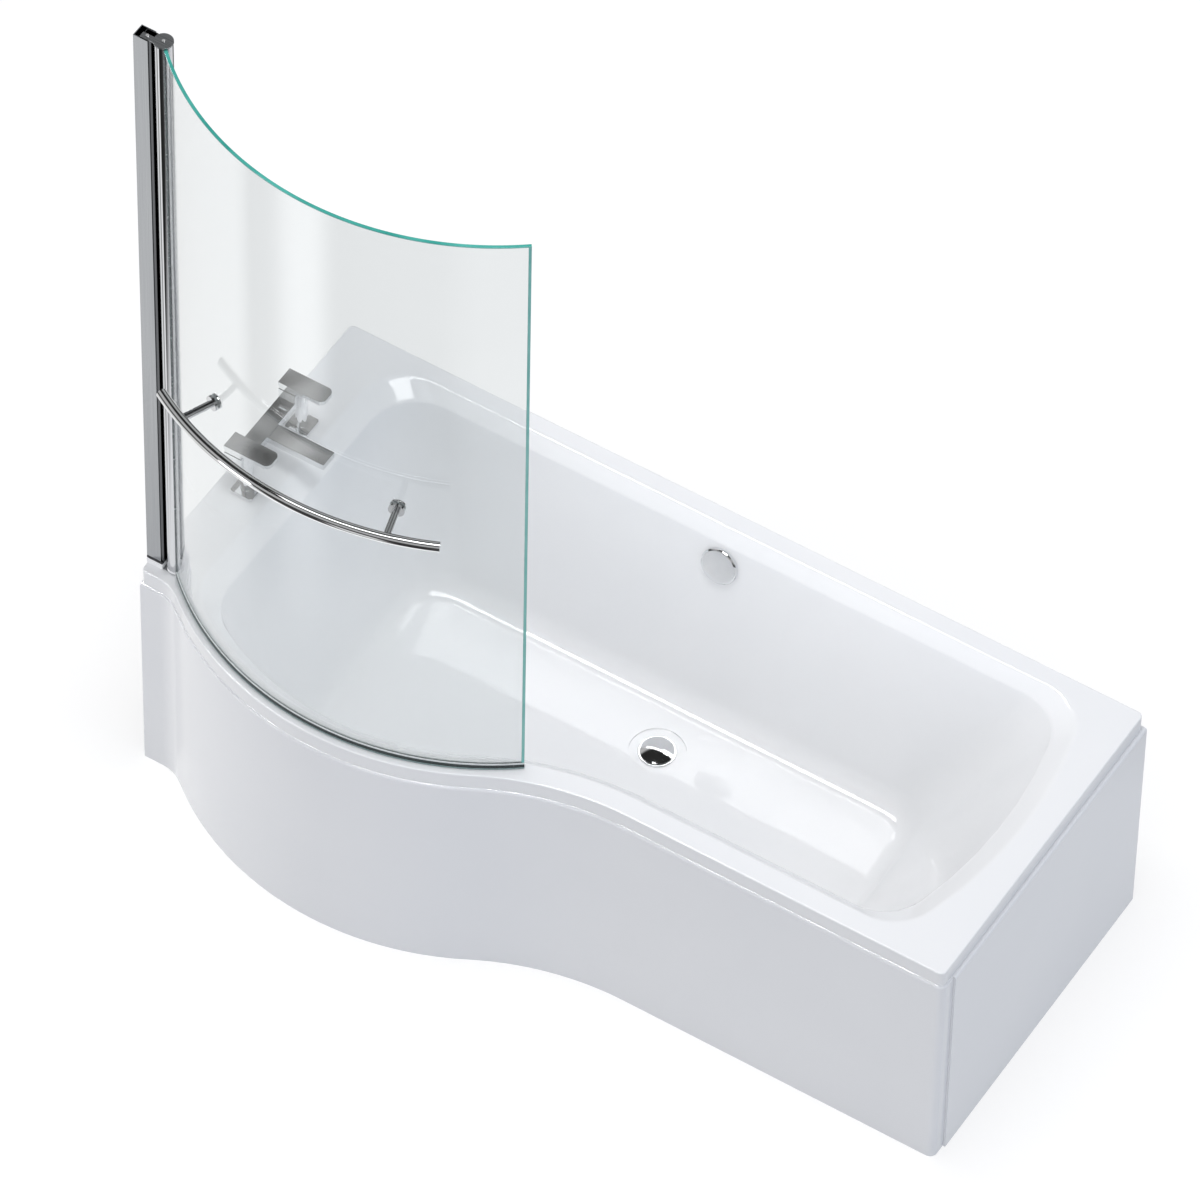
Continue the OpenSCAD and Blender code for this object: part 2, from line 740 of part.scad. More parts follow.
module waste_flange() {
    edge = 1;
    color("silver") home() at_waste() {
        rotate_extrude() polygon([
            [neck_r - neck_wall, neck_z0], [neck_r, neck_z0], [neck_r, dish_z + seat],
            [waste_flange_d / 2, dish_z + seat], [waste_flange_d / 2, flange_top_z - edge],
            [waste_flange_d / 2 - edge, flange_top_z], [plug_d / 2 - 2, flange_top_z],
            [neck_r - neck_wall, dish_z - 1]
        ]);
        difference() {
            union() {
                translate([0, 0, boss_z]) cylinder(r = boss_r, h = boss_h);
                for (a = [0, 90]) rotate([0, 0, a])
                    translate([-neck_r + 1, -1.5, boss_z]) cube([2 * neck_r - 2, 3, boss_h]);
            }
            translate([0, 0, boss_z - 1]) cylinder(r = cartridge_r + fit_gap, h = boss_h + 2);
        }
    }
}

module waste_gasket() {
    color("dimgray") home() at_waste() translate([0, 0, body_top_z + seat]) difference() {
        cylinder(r = waste_flange_d / 2, h = gasket_t);
        translate([0, 0, -1]) cylinder(r = neck_r + 0.6, h = gasket_t + 2);
    }
}

module waste_body() {
    color("whitesmoke") home() at_waste() difference() {
        union() {
            translate([0, 0, body_top_z - body_flange_t]) cylinder(r = body_flange_r, h = body_flange_t);
            translate([0, 0, spigot_z1]) cylinder(r = body_r, h = body_top_z - body_flange_t - spigot_z1);
            translate([0, 0, spigot_z0]) cylinder(r = spigot_r, h = spigot_z1 - spigot_z0);
            translate([0, 0, pipe_z]) rotate([-90, 0, 0])
                cylinder(r = socket_r, h = pipe_end_y + waste_y);
        }
        translate([0, 0, spigot_z0 - 1]) cylinder(r = spigot_bore_r, h = body_top_z);
        translate([0, 0, thread_z]) cylinder(r = neck_r + 2 * fit_gap, h = body_top_z);
        translate([0, 0, pipe_z]) rotate([-90, 0, 0])
            cylinder(r = pipe_r - pipe_wall, h = pipe_end_y + waste_y + 1);
        translate([0, pipe_end_y + waste_y - socket_depth, pipe_z]) rotate([-90, 0, 0])
            cylinder(r = pipe_r + 2 * fit_gap, h = socket_depth + 1);
    }
}

cartridge_z0 = neck_z0 + 1;
cartridge_top_z = flange_top_z + 1.3;

module plug_cartridge() {
    color("gold") home() at_waste() {
        translate([0, 0, cartridge_z0]) cylinder(r = cartridge_r, h = cartridge_top_z - cartridge_z0);
        translate([0, 0, cartridge_z0]) cylinder(r = boss_r - 1, h = boss_z - cartridge_z0 - seat);
    }
}

plug_z = flange_top_z + 0.4;
plug_edge_h = 2;
plug_rise = 4.6;
plug_socket_r = 8;
plug_socket_z = boss_z + boss_h + 3;
seal_r0 = 21;
seal_r1 = 25;
seal_drop = 1.8;

// Domed disc with a socket that slides on the cartridge and a groove for the seal
module waste_plug() {
    dome_r = (pow(plug_d / 2, 2) + pow(plug_rise, 2)) / (2 * plug_rise);
    dome_top_z = plug_z + plug_edge_h + plug_rise;
    color("silver") home() at_waste() difference() {
        union() {
            rotate_extrude() {
                translate([0, plug_z]) square([plug_d / 2, plug_edge_h]);
                intersection() {
                    translate([0, dome_top_z - dome_r]) circle(dome_r, $fn = 4 * big_fn);
                    translate([0, plug_z + plug_edge_h / 2])
                        square([plug_d / 2, plug_edge_h / 2 + plug_rise]);
                }
            }
            translate([0, 0, plug_socket_z]) cylinder(r = plug_socket_r, h = plug_z + 1 - plug_socket_z);
        }
        translate([0, 0, plug_socket_z - 1])
            cylinder(r = cartridge_r + 2 * fit_gap, h = cartridge_top_z + 0.4 - plug_socket_z + 1);
        translate([0, 0, plug_z - 1]) difference() {
            cylinder(r = seal_r1 + fit_gap, h = 2.2);
            translate([0, 0, -1]) cylinder(r = seal_r0 - fit_gap, h = 4.2);
        }
    }
}

module plug_seal() {
    color("dimgray") home() at_waste() translate([0, 0, plug_z - seal_drop]) difference() {
        cylinder(r = seal_r1, h = seal_drop + 1);
        translate([0, 0, -1]) cylinder(r = seal_r0, h = seal_drop + 3);
    }
}

// ---------- overflow ----------
cover_h = 9;
cover_wall = 2;
cover_stem_r = 10;
over_hole_r = overflow_hole_d / 2;
over_body_r = over_hole_r + 2;
over_flange_r = over_hole_r + 7;
over_gasket_t = 2;
over_flange_z = -shell_t - 2 * seat - over_gasket_t;
over_flange_t = 3.6;
over_depth = 22;
over_back_z = over_flange_z - over_flange_t - over_depth;
port_top_z = overflow_z - 36;
port_z0 = overflow_z - 49;
pipe_top_z = port_top_z - 1;

module overflow_cover() {
    roll = 5;
    r = overflow_d / 2;
    color("silver") home() at_overflow() {
        difference() {
            translate([0, 0, seat]) rotate_extrude() polygon(concat(
                [[0, cover_h - cover_wall], [r - roll, cover_h - cover_wall]],
                [[r - cover_wall - 1, cover_h / 2], [r - cover_wall - 1, 0], [r, 0]],
                [for (i = [0 : 4]) let (a = 90 * i / 4)
                    [r - roll + roll * cos(a), cover_h - roll + roll * sin(a)]],
                [[0, cover_h]]
            ));
            translate([-10, -r - 1, -1]) cube([20, 8, 1 + cover_h / 2]);
        }
        translate([0, 0, over_back_z + over_depth / 2])
            cylinder(r = cover_stem_r, h = cover_h + seat - cover_wall / 2 - over_back_z - over_depth / 2);
    }
}

module overflow_gasket() {
    color("dimgray") home() at_overflow() translate([0, 0, over_flange_z + seat]) difference() {
        cylinder(r = over_flange_r, h = over_gasket_t);
        translate([0, 0, -1]) cylinder(r = over_hole_r, h = over_gasket_t + 2);
    }
}

// Flange, chamber with a cross wall for the cover's stem, and a port that points down
module overflow_body() {
    wall = 3;
    color("whitesmoke") home() difference() {
        union() {
            at_overflow() translate([0, 0, over_flange_z - over_flange_t])
                cylinder(r = over_flange_r, h = over_flange_t);
            at_overflow() translate([0, 0, over_back_z])
                cylinder(r = over_body_r, h = over_depth + over_flange_t / 2);
            translate([waste_x, -pipe_back, port_z0])
                cylinder(r = socket_r, h = overflow_z - over_body_r / 2 - port_z0);
        }
        at_overflow() translate([0, 0, over_back_z + wall])
            cylinder(r = over_hole_r - 2, h = over_depth + over_flange_t);
        translate([waste_x, -pipe_back, port_z0])
            cylinder(r = pipe_r - pipe_wall, h = overflow_z - port_z0);
        translate([waste_x, -pipe_back, port_z0 - 1])
            cylinder(r = pipe_r + 2 * fit_gap, h = port_top_z - port_z0 + 1);
    }
    color("whitesmoke") home() at_overflow() difference() {
        translate([-cover_stem_r - wall, -over_hole_r, over_back_z + wall / 2])
            cube([2 * (cover_stem_r + wall), 2 * over_hole_r, over_depth * 0.6]);
        translate([0, 0, over_back_z + wall])
            cylinder(r = cover_stem_r + fit_gap, h = over_depth);
        translate([-cover_stem_r - wall - 1, -over_hole_r - 1, over_back_z])
            cube([2 * (cover_stem_r + wall) + 2, over_hole_r - cover_stem_r - wall + 1, over_depth]);
        translate([-cover_stem_r - wall - 1, cover_stem_r + wall, over_back_z])
            cube([2 * (cover_stem_r + wall) + 2, over_hole_r, over_depth]);
    }
}

module tube_ring(r, wall) {
    difference() {
        circle(r);
        circle(r - wall);
    }
}

module overflow_pipe() {
    low_y = pipe_end_y - socket_depth + 1;
    turn_z = pipe_z + pipe_bend_r;
    turn_y = -pipe_back - pipe_bend_r;
    color("whitesmoke") home() translate([waste_x, 0, 0]) {
        translate([0, -pipe_back, turn_z]) linear_extrude(pipe_top_z - turn_z)
            tube_ring(pipe_r, pipe_wall);
        translate([0, turn_y, turn_z]) rotate([90, 0, 90])
            rotate_extrude(start = 270, angle = 90) translate([pipe_bend_r, 0])
                tube_ring(pipe_r, pipe_wall);
        translate([0, turn_y, pipe_z]) rotate([90, 0, 0]) linear_extrude(turn_y - low_y)
            tube_ring(pipe_r, pipe_wall);
    }
}

module pipe_nut() {
    wide = 11;
    difference() {
        cylinder(r = socket_r + 4, h = wide + 6);
        translate([0, 0, -1]) cylinder(r = pipe_r + 2 * fit_gap, h = wide + 8);
        translate([0, 0, 6]) cylinder(r = socket_r + 2 * fit_gap, h = wide + 1);
    }
}

module pipe_nuts() {
    color("whitesmoke") home() translate([waste_x, 0, 0]) {
        translate([0, -pipe_back, port_z0 - 6 - seat]) pipe_nut();
        translate([0, pipe_end_y + 6 + seat, pipe_z]) rotate([90, 0, 0]) pipe_nut();
    }
}

// ---------- trap ----------
trap_r = trap_d / 2;
trap_wall = 3;
trap_low_z = 54;
trap_elbow_r = 24;
trap_rise = 4;
trap_out_z = trap_low_z + trap_rise + trap_elbow_r;
riser_x = waste_x + 2 * trap_bend_r;
trap_end_x = riser_x + trap_elbow_r + 26;
trap_nut_z = 62;
nut_r = body_r;

module trap_nut() {
    floor_t = 5;
    color("whitesmoke") home() at_waste() translate([0, 0, trap_nut_z]) difference() {
        cylinder(r = nut_r, h = spigot_z1 - seat - trap_nut_z);
        translate([0, 0, -1]) cylinder(r = trap_r + 2 * fit_gap, h = 2 * nut_r);
        translate([0, 0, floor_t]) cylinder(r = spigot_r + 2 * fit_gap, h = 2 * nut_r);
    }
}

module trap_body() {
    color("whitesmoke") home() translate([waste_x, -waste_y, 0]) {
        translate([0, 0, trap_low_z]) linear_extrude(spigot_z0 - seat - trap_low_z)
            tube_ring(trap_r, trap_wall);
        translate([trap_bend_r, 0, trap_low_z]) rotate([90, 0, 0])
            rotate_extrude(start = 180, angle = 180) translate([trap_bend_r, 0])
                tube_ring(trap_r, trap_wall);
        translate([2 * trap_bend_r, 0, trap_low_z]) linear_extrude(trap_rise)
            tube_ring(trap_r, trap_wall);
        translate([2 * trap_bend_r + trap_elbow_r, 0, trap_low_z + trap_rise]) rotate([90, 0, 0])
            rotate_extrude(start = 90, angle = 90) translate([trap_elbow_r, 0])
                tube_ring(trap_r, trap_wall);
        translate([2 * trap_bend_r + trap_elbow_r, 0, trap_out_z]) rotate([90, 0, 90])
            linear_extrude(trap_end_x - riser_x - trap_elbow_r) tube_ring(trap_r, trap_wall);
    }
}

// Collar on the trap's outlet, with a socket for the drain pipe
drain_r = 20.3;
module trap_outlet_nut() {
    lap = 14;
    reach = 16;
    color("whitesmoke") home() translate([trap_end_x - lap, -waste_y, trap_out_z]) rotate([0, 90, 0])
        difference() {
            cylinder(r = trap_r + 5, h = lap + reach);
            translate([0, 0, -1]) cylinder(r = trap_r + 2 * fit_gap, h = lap + 1 + seat);
            cylinder(r = drain_r, h = lap + reach + 1);
        }
}

// ---------- bath filler ----------
deck_z = rim_h;
tap_h = bridge_z + block_h;
flange_w = 48;
flange_h = 8;
tail_r = 13.2;
tail_end_r = 13;
tail_end_l = 50;
tail_bore_r = 9;
tail_l = 80;
washer_t = 2.5;
nut_flat = 36;
valve_x = tap_x - 20;
valve_r = 6.5;
valve_l = 30;
stem_r = 4;
stem_l = 14;
stem_fit = 0.06;
lever_neck_w = 36;
lever_gap = 0.8;
lever_neck_h = 10;
lever_z = deck_z + tap_h + lever_gap;
lever_x0 = valve_x - lever_w / 2 + 1;

module at_taps() {
    for (y = tap_ys) translate([tap_x, y, deck_z]) children();
}

module rounded_square(w, r) {
    for (x = [0, 1]) for (y = [0, 1]) mirror([x, 0]) mirror([0, y])
        translate([w / 2 - r, w / 2 - r]) circle(r);
    square([w, w - 2 * r], center = true);
    square([w - 2 * r, w], center = true);
}

module pillar_flanges() {
    color("silver") home() at_taps() difference() {
        translate([0, 0, seat]) linear_extrude(flange_h - seat) rounded_square(flange_w, 5);
        cylinder(r = tail_r + fit_gap, h = 3 * flange_h, center = true);
    }
}

module tap_tails() {
    shank_l = tail_l - tail_end_l;
    color("gold") home() at_taps() difference() {
        union() {
            translate([0, 0, -tail_l]) cylinder(r = tail_end_r, h = tail_l);
            translate([0, 0, -shank_l]) cylinder(r = tail_r, h = shank_l + flange_h);
        }
        translate([0, 0, -tail_l - 1]) cylinder(r = tail_bore_r, h = tail_l + flange_h + 2);
    }
}

module deck_washers() {
    color("dimgray") home() at_taps() translate([0, 0, -shell_t - seat - washer_t]) difference() {
        cylinder(r = nut_flat / 2 + 2, h = washer_t);
        translate([0, 0, -1]) cylinder(r = tail_r + 2 * seat, h = washer_t + 2);
    }
}

module back_nuts() {
    nut_t = 10;
    color("gold") home() at_taps() translate([0, 0, -shell_t - 2 * seat - washer_t - nut_t])
        difference() {
            cylinder(d = nut_flat / cos(30), h = nut_t, $fn = hex_fn);
            translate([0, 0, -1]) cylinder(r = tail_r + fit_gap, h = nut_t + 2);
        }
}

module filler_pillars() {
    color("silver") home() at_taps() translate([0, 0, flange_h + seat]) difference() {
        cylinder(d = pillar_d, h = tap_h - flange_h - seat);
        translate([0, 0, -1]) cylinder(r = tail_bore_r, h = bridge_z);
    }
}

module filler_body() {
    spout_y = -filler_y;
    tip_x = tap_x + spout_reach;
    color("silver") home() difference() {
        union() {
            for (y = tap_ys) translate([valve_x - block_w / 2, y - block_w / 2, deck_z + bridge_z])
                cube([block_w, block_w, block_h]);
            translate([valve_x - block_w / 2 + 1, tap_ys[1], deck_z + bridge_z])
                cube([block_w - 2, tap_centres, bridge_h]);
            translate([valve_x, spout_y - spout_w / 2, deck_z + bridge_z])
                cube([tip_x - valve_x, spout_w, spout_t]);
        }
        for (y = tap_ys) {
            translate([tap_x, y, deck_z]) cylinder(d = pillar_d + 2 * fit_gap, h = 2 * tap_h);
            translate([valve_x, y, deck_z + tap_h - valve_l])
                cylinder(r = valve_r + fit_gap, h = valve_l + 1);
        }
        translate([tip_x - 22, spout_y - 12, deck_z + bridge_z - 1]) cube([12, 24, 9]);
    }
}

module valve_cartridges() {
    color("gold") home() for (y = tap_ys) translate([valve_x, y, deck_z + tap_h - valve_l + seat])
        difference() {
            cylinder(r = valve_r, h = valve_l - seat);
            translate([0, 0, valve_l - seat - stem_l]) cylinder(r = stem_r + stem_fit, h = stem_l + 1);
        }
}

// Square neck under a flat paddle, with a stem that turns in the cartridge
module lever(y) {
    corner = 12;
    paddle_z = lever_z + lever_neck_h;
    color("silver") home() translate([0, y, 0]) {
        translate([valve_x, 0, lever_z + lever_neck_h / 2]) linear_extrude(lever_neck_h / 2 + 1)
            square(lever_neck_w, center = true);
        translate([valve_x, 0, lever_z]) linear_extrude(lever_neck_h / 2)
            square(lever_neck_w - 1, center = true);
        translate([0, 0, paddle_z]) linear_extrude(lever_t) {
            translate([lever_x0, -lever_w / 2]) square([lever_l - corner, lever_w]);
            translate([lever_x0, -lever_w / 2 + corner]) square([lever_l, lever_w - 2 * corner]);
            for (side = [-1, 1])
                translate([lever_x0 + lever_l - corner, side * (lever_w / 2 - corner)]) circle(corner);
        }
        translate([valve_x, 0, lever_z - lever_gap - stem_l + 1])
            cylinder(r = stem_r, h = stem_l + lever_gap);
    }
}

module lever_rear() { lever(tap_ys[0]); }
module lever_front() { lever(tap_ys[1]); }

// ---------- screen ----------
glass_r = bulge_r - glass_in;
hinge_y = bulge_c.y - sqrt(pow(glass_r, 2) - pow(bulge_c.x - hinge_x, 2));
hinge_a = 360 + atan2(hinge_y - bulge_c.y, hinge_x - bulge_c.x);
seal_web = 5;
seal_h = 15;
seal_z = rim_h + screen_gap;
glass_z = seal_z + seal_web;
screen_top_z = glass_z + glass_h + 3;
tube_r = tube_d / 2;
tube_in_r = tube_r - tube_wall;
slot_w = glass_t + 3;
glass_start = 9.8;
gasket_gap = 0.1;
plate_t = 3;
pin_r = pin_d / 2;
pin_fit = 0.06;
bush_l = 24;
play = 0.4;
cap_h = 8;
cap_z = rim_h + plate_t + 2 * play;
tube_z0 = cap_z + cap_h + gasket_gap;
channel_z = rim_h + foot_block_h + 6;
pad_z = rim_h + foot_block_h + 2 * seat;
post_in = channel_depth - 17;
post_end = channel_depth + 6;
post_half_w = channel_w / 2 - channel_t - 0.3;
port_r = 1.7;
port_x = (post_in + post_end) / 2;
port_y = -(post_half_w - channel_t / 2) / 2;
fixing_zs = [channel_z + 100, (channel_z + screen_top_z) / 2, screen_top_z - 100];
side_screw_x = post_in + 8;
side_screw_d = 4;
wall_hole_d = 6;
arm_y0 = -post_half_w;
arm_h = post_half_w - 1;
foot_w = channel_w + 2;
foot_l = channel_depth + 4;

// Direction, from the bulge centre, of the point on the glass at distance d from the hinge
function glass_a(d) = hinge_a + 2 * asin(d / (2 * glass_r));

// Band that follows the glass, between two directions and two offsets from its middle
module glass_band(a0, a1, r0, r1, h) {
    translate([bulge_c.x, bulge_c.y, 0]) rotate_extrude(start = a0, angle = a1 - a0, $fn = big_fn)
        translate([glass_r + r0, 0]) square([r1 - r0, h]);
}

module tube_slot() {
    translate([0, 0, rim_h]) glass_band(glass_a(glass_start - 0.8), glass_a(2 * tube_d),
        -slot_w / 2, slot_w / 2, 2 * glass_h);
}

module at_hinge(z) {
    translate([hinge_x, hinge_y, z]) children();
}

module at_post(z) {
    translate([0, hinge_y, z]) children();
}

module wall_channel() {
    color("silver") home() difference() {
        at_post(channel_z) linear_extrude(screen_top_z - channel_z) difference() {
            translate([0, -channel_w / 2]) square([channel_depth, channel_w]);
            translate([channel_t, -channel_w / 2 + channel_t])
                square([channel_depth, channel_w - 2 * channel_t]);
        }
        for (z = fixing_zs) {
            at_post(z) rotate([0, 90, 0]) cylinder(d = wall_hole_d, h = 2 * channel_t, center = true);
            at_post(z + channel_w) translate([side_screw_x, 0, 0]) rotate([-90, 0, 0])
                cylinder(d = side_screw_d + 2 * fit_gap, h = channel_w);
        }
    }
}

// Hollow post that slides in the channel, with a screw port in its front half
module post_profile() {
    color("silver") home() difference() {
        at_post(channel_z) linear_extrude(screen_top_z - channel_z) {
            difference() {
                translate([post_in, -post_half_w]) square([post_end - post_in, 2 * post_half_w]);
                translate([post_in + channel_t, 0])
                    square([post_end - post_in - 2 * channel_t, post_half_w - channel_t]);
                translate([post_in + channel_t, -post_half_w + channel_t])
                    square([post_end - post_in - 2 * channel_t, post_half_w - 2 * channel_t]);
            }
            difference() {
                translate([port_x - 3, -post_half_w + channel_t / 2]) square([6, post_half_w - channel_t]);
                translate([port_x, port_y]) circle(port_r);
            }
        }
        for (z = fixing_zs) at_post(z + channel_w) translate([side_screw_x, 3, 0])
            rotate([-90, 0, 0]) cylinder(d = side_screw_d + 2 * fit_gap, h = channel_w);
    }
}

// White block on the deck with a rounded top and a slot for the lower arm
module foot_block() {
    roll = 5;
    color("white") home() difference() {
        at_post(rim_h + seat) rotate([90, 0, 90]) linear_extrude(foot_l) {
            translate([-foot_w / 2, 0]) square([foot_w, foot_block_h - roll]);
            translate([-foot_w / 2 + roll, 0]) square([foot_w - 2 * roll, foot_block_h]);
            for (side = [-1, 1])
                translate([side * (foot_w / 2 - roll), foot_block_h - roll]) circle(roll);
        }
        at_post(rim_h - 1) translate([post_in - seat, arm_y0 - seat, 0])
            cube([foot_l, arm_h + 2 * seat, plate_t + play + 1 + seat]);
        at_post(rim_h) translate([port_x, port_y, 0]) cylinder(r = 1.5 * port_r, h = 2 * foot_block_h);
    }
}

module channel_pad() {
    color("dimgray") home() at_post(pad_z) difference() {
        translate([0, -channel_w / 2 + 1, 0])
            cube([channel_depth - 1, channel_w - 2, channel_z - seat - pad_z]);
        translate([port_x, port_y, -1]) cylinder(r = 1.5 * port_r, h = 2 * foot_block_h);
    }
}

// Flat arm from the post to the hinge, with the pin; z is its underside
module hinge_arm(z, disc_r) {
    difference() {
        union() {
            at_post(z) translate([post_in, arm_y0, 0]) cube([hinge_x - post_in, arm_h, plate_t]);
            at_hinge(z) cylinder(r = disc_r, h = plate_t);
        }
        at_post(z - 1) translate([port_x, port_y, 0]) cylinder(r = port_r + fit_gap, h = plate_t + 2);
    }
}

module hinge_brackets() {
    color("silver") home() {
        hinge_arm(rim_h + play, tube_in_r - 1);
        at_hinge(rim_h + play + plate_t / 2) cylinder(r = pin_r, h = bush_l);
        hinge_arm(screen_top_z + play, tube_r + 1);
        at_hinge(screen_top_z + play + plate_t / 2 - bush_l) cylinder(r = pin_r, h = bush_l);
    }
}

module screen_screws() {
    side_l = 10;
    head_h = 2;
    port_l = 26;
    bottom_z = pad_z - foot_block_h + plate_t + play;
    color("silver") home() {
        for (z = fixing_zs) at_post(z + channel_w) translate([side_screw_x, channel_w / 2 + seat, 0])
            rotate([-90, 0, 0]) {
                cylinder(d = 2 * side_screw_d, h = head_h);
                translate([0, 0, -side_l / 2]) cylinder(d = side_screw_d, h = side_l / 2 + 1);
            }
        at_post(screen_top_z + play + plate_t + seat) translate([port_x, port_y, 0]) {
            cylinder(r = 2 * port_r, h = head_h);
            translate([0, 0, -port_l]) cylinder(r = port_r - fit_gap, h = port_l + 1);
        }
        at_post(bottom_z) translate([port_x, port_y, 0]) cylinder(r = port_r - fit_gap, h = port_l);
        at_hinge(screen_top_z + play + plate_t + seat) cylinder(r = 2 * port_r, h = head_h / 2);
    }
}

module hinge_tube() {
    color("silver") home() difference() {
        at_hinge(tube_z0) linear_extrude(screen_top_z - tube_z0) tube_ring(tube_r, tube_wall);
        tube_slot();
    }
}

module tube_bushes() {
    color("whitesmoke") home() difference() {
        for (z = [tube_z0, screen_top_z - bush_l]) at_hinge(z) difference() {
            cylinder(r = tube_in_r - fit_gap, h = bush_l);
            translate([0, 0, -1]) cylinder(r = pin_r + pin_fit, h = bush_l + 2);
        }
        tube_slot();
    }
}

module bottom_cap() {
    edge = 2.5;
    color("white") home() difference() {
        at_hinge(cap_z) rotate_extrude() polygon(concat(
            [[pin_r + pin_fit, cap_h], [pin_r + pin_fit, 0], [tube_r - edge, 0]],
            [for (i = [1 : 4]) let (a = -90 + 90 * i / 4)
                [tube_r - edge + edge * cos(a), edge + edge * sin(a)]],
            [[tube_r, cap_h]]
        ));
        tube_slot();
    }
}

module glass_holes(r) {
    for (a = [post_a0, post_a1]) at_rail_post(a) translate([0, 0, glass_r - glass_t])
        cylinder(r = r, h = 2 * glass_t);
}

// Local Z points outwards from the bulge centre at the height of the towel rail
module at_rail_post(a) {
    translate([bulge_c.x, bulge_c.y, rim_h + rail_h]) rotate([0, 0, a]) rotate([0, 90, 0]) children();
}

rail_hole_r = 5;
rail_screw_r = 3;
rail_washer_t = 1;
rail_washer_r = rail_flange_d / 2 - 2;
rail_flange_t = 5;
curve_gap = 0.3;
rail_in_r = glass_r - glass_t / 2 - curve_gap - rail_washer_t;
rail_out_r = glass_r + glass_t / 2 + seat / 2 + rail_washer_t;

module glass_panel() {
    color("lightcyan", 0.4) home() difference() {
        translate([0, 0, glass_z])
            glass_band(glass_a(glass_start), glass_end_a, -glass_t / 2, glass_t / 2, glass_h);
        glass_holes(rail_hole_r);
    }
}

module glass_gasket() {
    half = slot_w / 2 - gasket_gap;
    color("gainsboro") home() translate([0, 0, glass_z]) difference() {
        glass_band(glass_a(glass_start - 0.6), glass_a(tube_r + 1.4), -half, half, glass_h);
        translate([0, 0, -1]) glass_band(glass_a(glass_start - gasket_gap), glass_a(2 * tube_r),
            -glass_t / 2 - gasket_gap, glass_t / 2 + gasket_gap, glass_h + 2);
    }
}

module bottom_seal() {
    half = glass_t / 2 + 1.5;
    pocket = glass_t / 2 + gasket_gap;
    color("dimgray") home() translate([0, 0, seal_z]) difference() {
        glass_band(glass_a(tube_r + 3), glass_end_a, -half, half, seal_h);
        translate([0, 0, seal_web - gasket_gap])
            glass_band(glass_a(tube_r), glass_end_a + 1, -pocket, pocket, seal_h);
    }
}

// ---------- towel rail ----------
module rail_run(a0, a1) {
    translate([bulge_c.x, bulge_c.y, rim_h + rail_h])
        rotate_extrude(start = a0, angle = a1 - a0, $fn = big_fn) translate([rail_r, 0]) children();
}

module towel_rail() {
    wall = 2;
    end_a = 0.3;
    color("silver") home() {
        rail_run(rail_a0 + end_a, rail_a1 - end_a) tube_ring(rail_d / 2, wall);
        rail_run(rail_a0, rail_a0 + end_a) circle(rail_d / 2);
        rail_run(rail_a1 - end_a, rail_a1) circle(rail_d / 2);
    }
}

// Turned post with a flange that bears on the glass, and a threaded hole for its screw
module rail_posts() {
    color("silver") home() difference() {
        for (a = [post_a0, post_a1]) at_rail_post(a) difference() {
            union() {
                translate([0, 0, rail_out_r]) cylinder(d = rail_flange_d, h = rail_flange_t);
                translate([0, 0, rail_out_r]) cylinder(d = post_d, h = rail_r - rail_d / 4 - rail_out_r);
            }
            translate([0, 0, rail_out_r - 1]) cylinder(r = rail_screw_r + fit_gap, h = 18);
        }
        rail_run(post_a0 - 2, post_a1 + 2) circle(rail_d / 2 + fit_gap);
    }
}

// Clear washers on both faces of the glass, each with a sleeve that lines its hole
module rail_washers() {
    color("gainsboro") home() for (a = [post_a0, post_a1]) at_rail_post(a) {
        difference() {
            union() {
                translate([0, 0, rail_out_r - rail_washer_t]) cylinder(r = rail_washer_r, h = rail_washer_t);
                translate([0, 0, glass_r + seat]) cylinder(r = rail_hole_r - 2 * fit_gap, h = glass_t / 2);
            }
            translate([0, 0, glass_r]) cylinder(r = rail_screw_r + seat, h = glass_t);
        }
        difference() {
            union() {
                translate([0, 0, rail_in_r]) cylinder(r = rail_washer_r, h = rail_washer_t);
                translate([0, 0, rail_in_r]) cylinder(r = rail_hole_r - 2 * fit_gap, h = glass_r - rail_in_r);
            }
            translate([0, 0, rail_in_r - 1]) cylinder(r = rail_screw_r + seat, h = glass_t);
        }
    }
}

module rail_screws() {
    head_h = 4;
    color("silver") home() for (a = [post_a0, post_a1]) at_rail_post(a)
        translate([0, 0, rail_in_r - head_h - seat / 2]) {
            cylinder(d = rail_flange_d, h = head_h);
            cylinder(r = rail_screw_r, h = head_h + rail_out_r - rail_in_r + 15);
        }
}

bath_shell();
base_board();
cross_bar_tap();
cross_bar_mid();
cross_bar_end();
bar_screws();
foot_pads();
levelling_rods();
rod_nuts();
batten_front();
batten_bulge();
batten_end();
batten_back();
batten_tap();
wall_brackets();
bracket_screws();
panel_clips();
clip_screws();
front_panel();
end_panel();
waste_flange();
waste_gasket();
waste_body();
plug_cartridge();
waste_plug();
plug_seal();
overflow_cover();
overflow_gasket();
overflow_body();
overflow_pipe();
pipe_nuts();
trap_nut();
trap_body();
trap_outlet_nut();
filler_pillars();
pillar_flanges();
tap_tails();
deck_washers();
back_nuts();
filler_body();
valve_cartridges();
lever_rear();
lever_front();
wall_channel();
post_profile();
foot_block();
channel_pad();
hinge_brackets();
screen_screws();
hinge_tube();
tube_bushes();
bottom_cap();
glass_panel();
glass_gasket();
bottom_seal();
towel_rail();
rail_posts();
rail_washers();
rail_screws();
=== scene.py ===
"""P shaped shower bath with a curved glass screen: finishes, light and camera.

All lengths are in metres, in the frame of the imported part.
"""

import json
from math import atan2, radians, tau

import bmesh
import bpy
from mathutils import Matrix, Vector


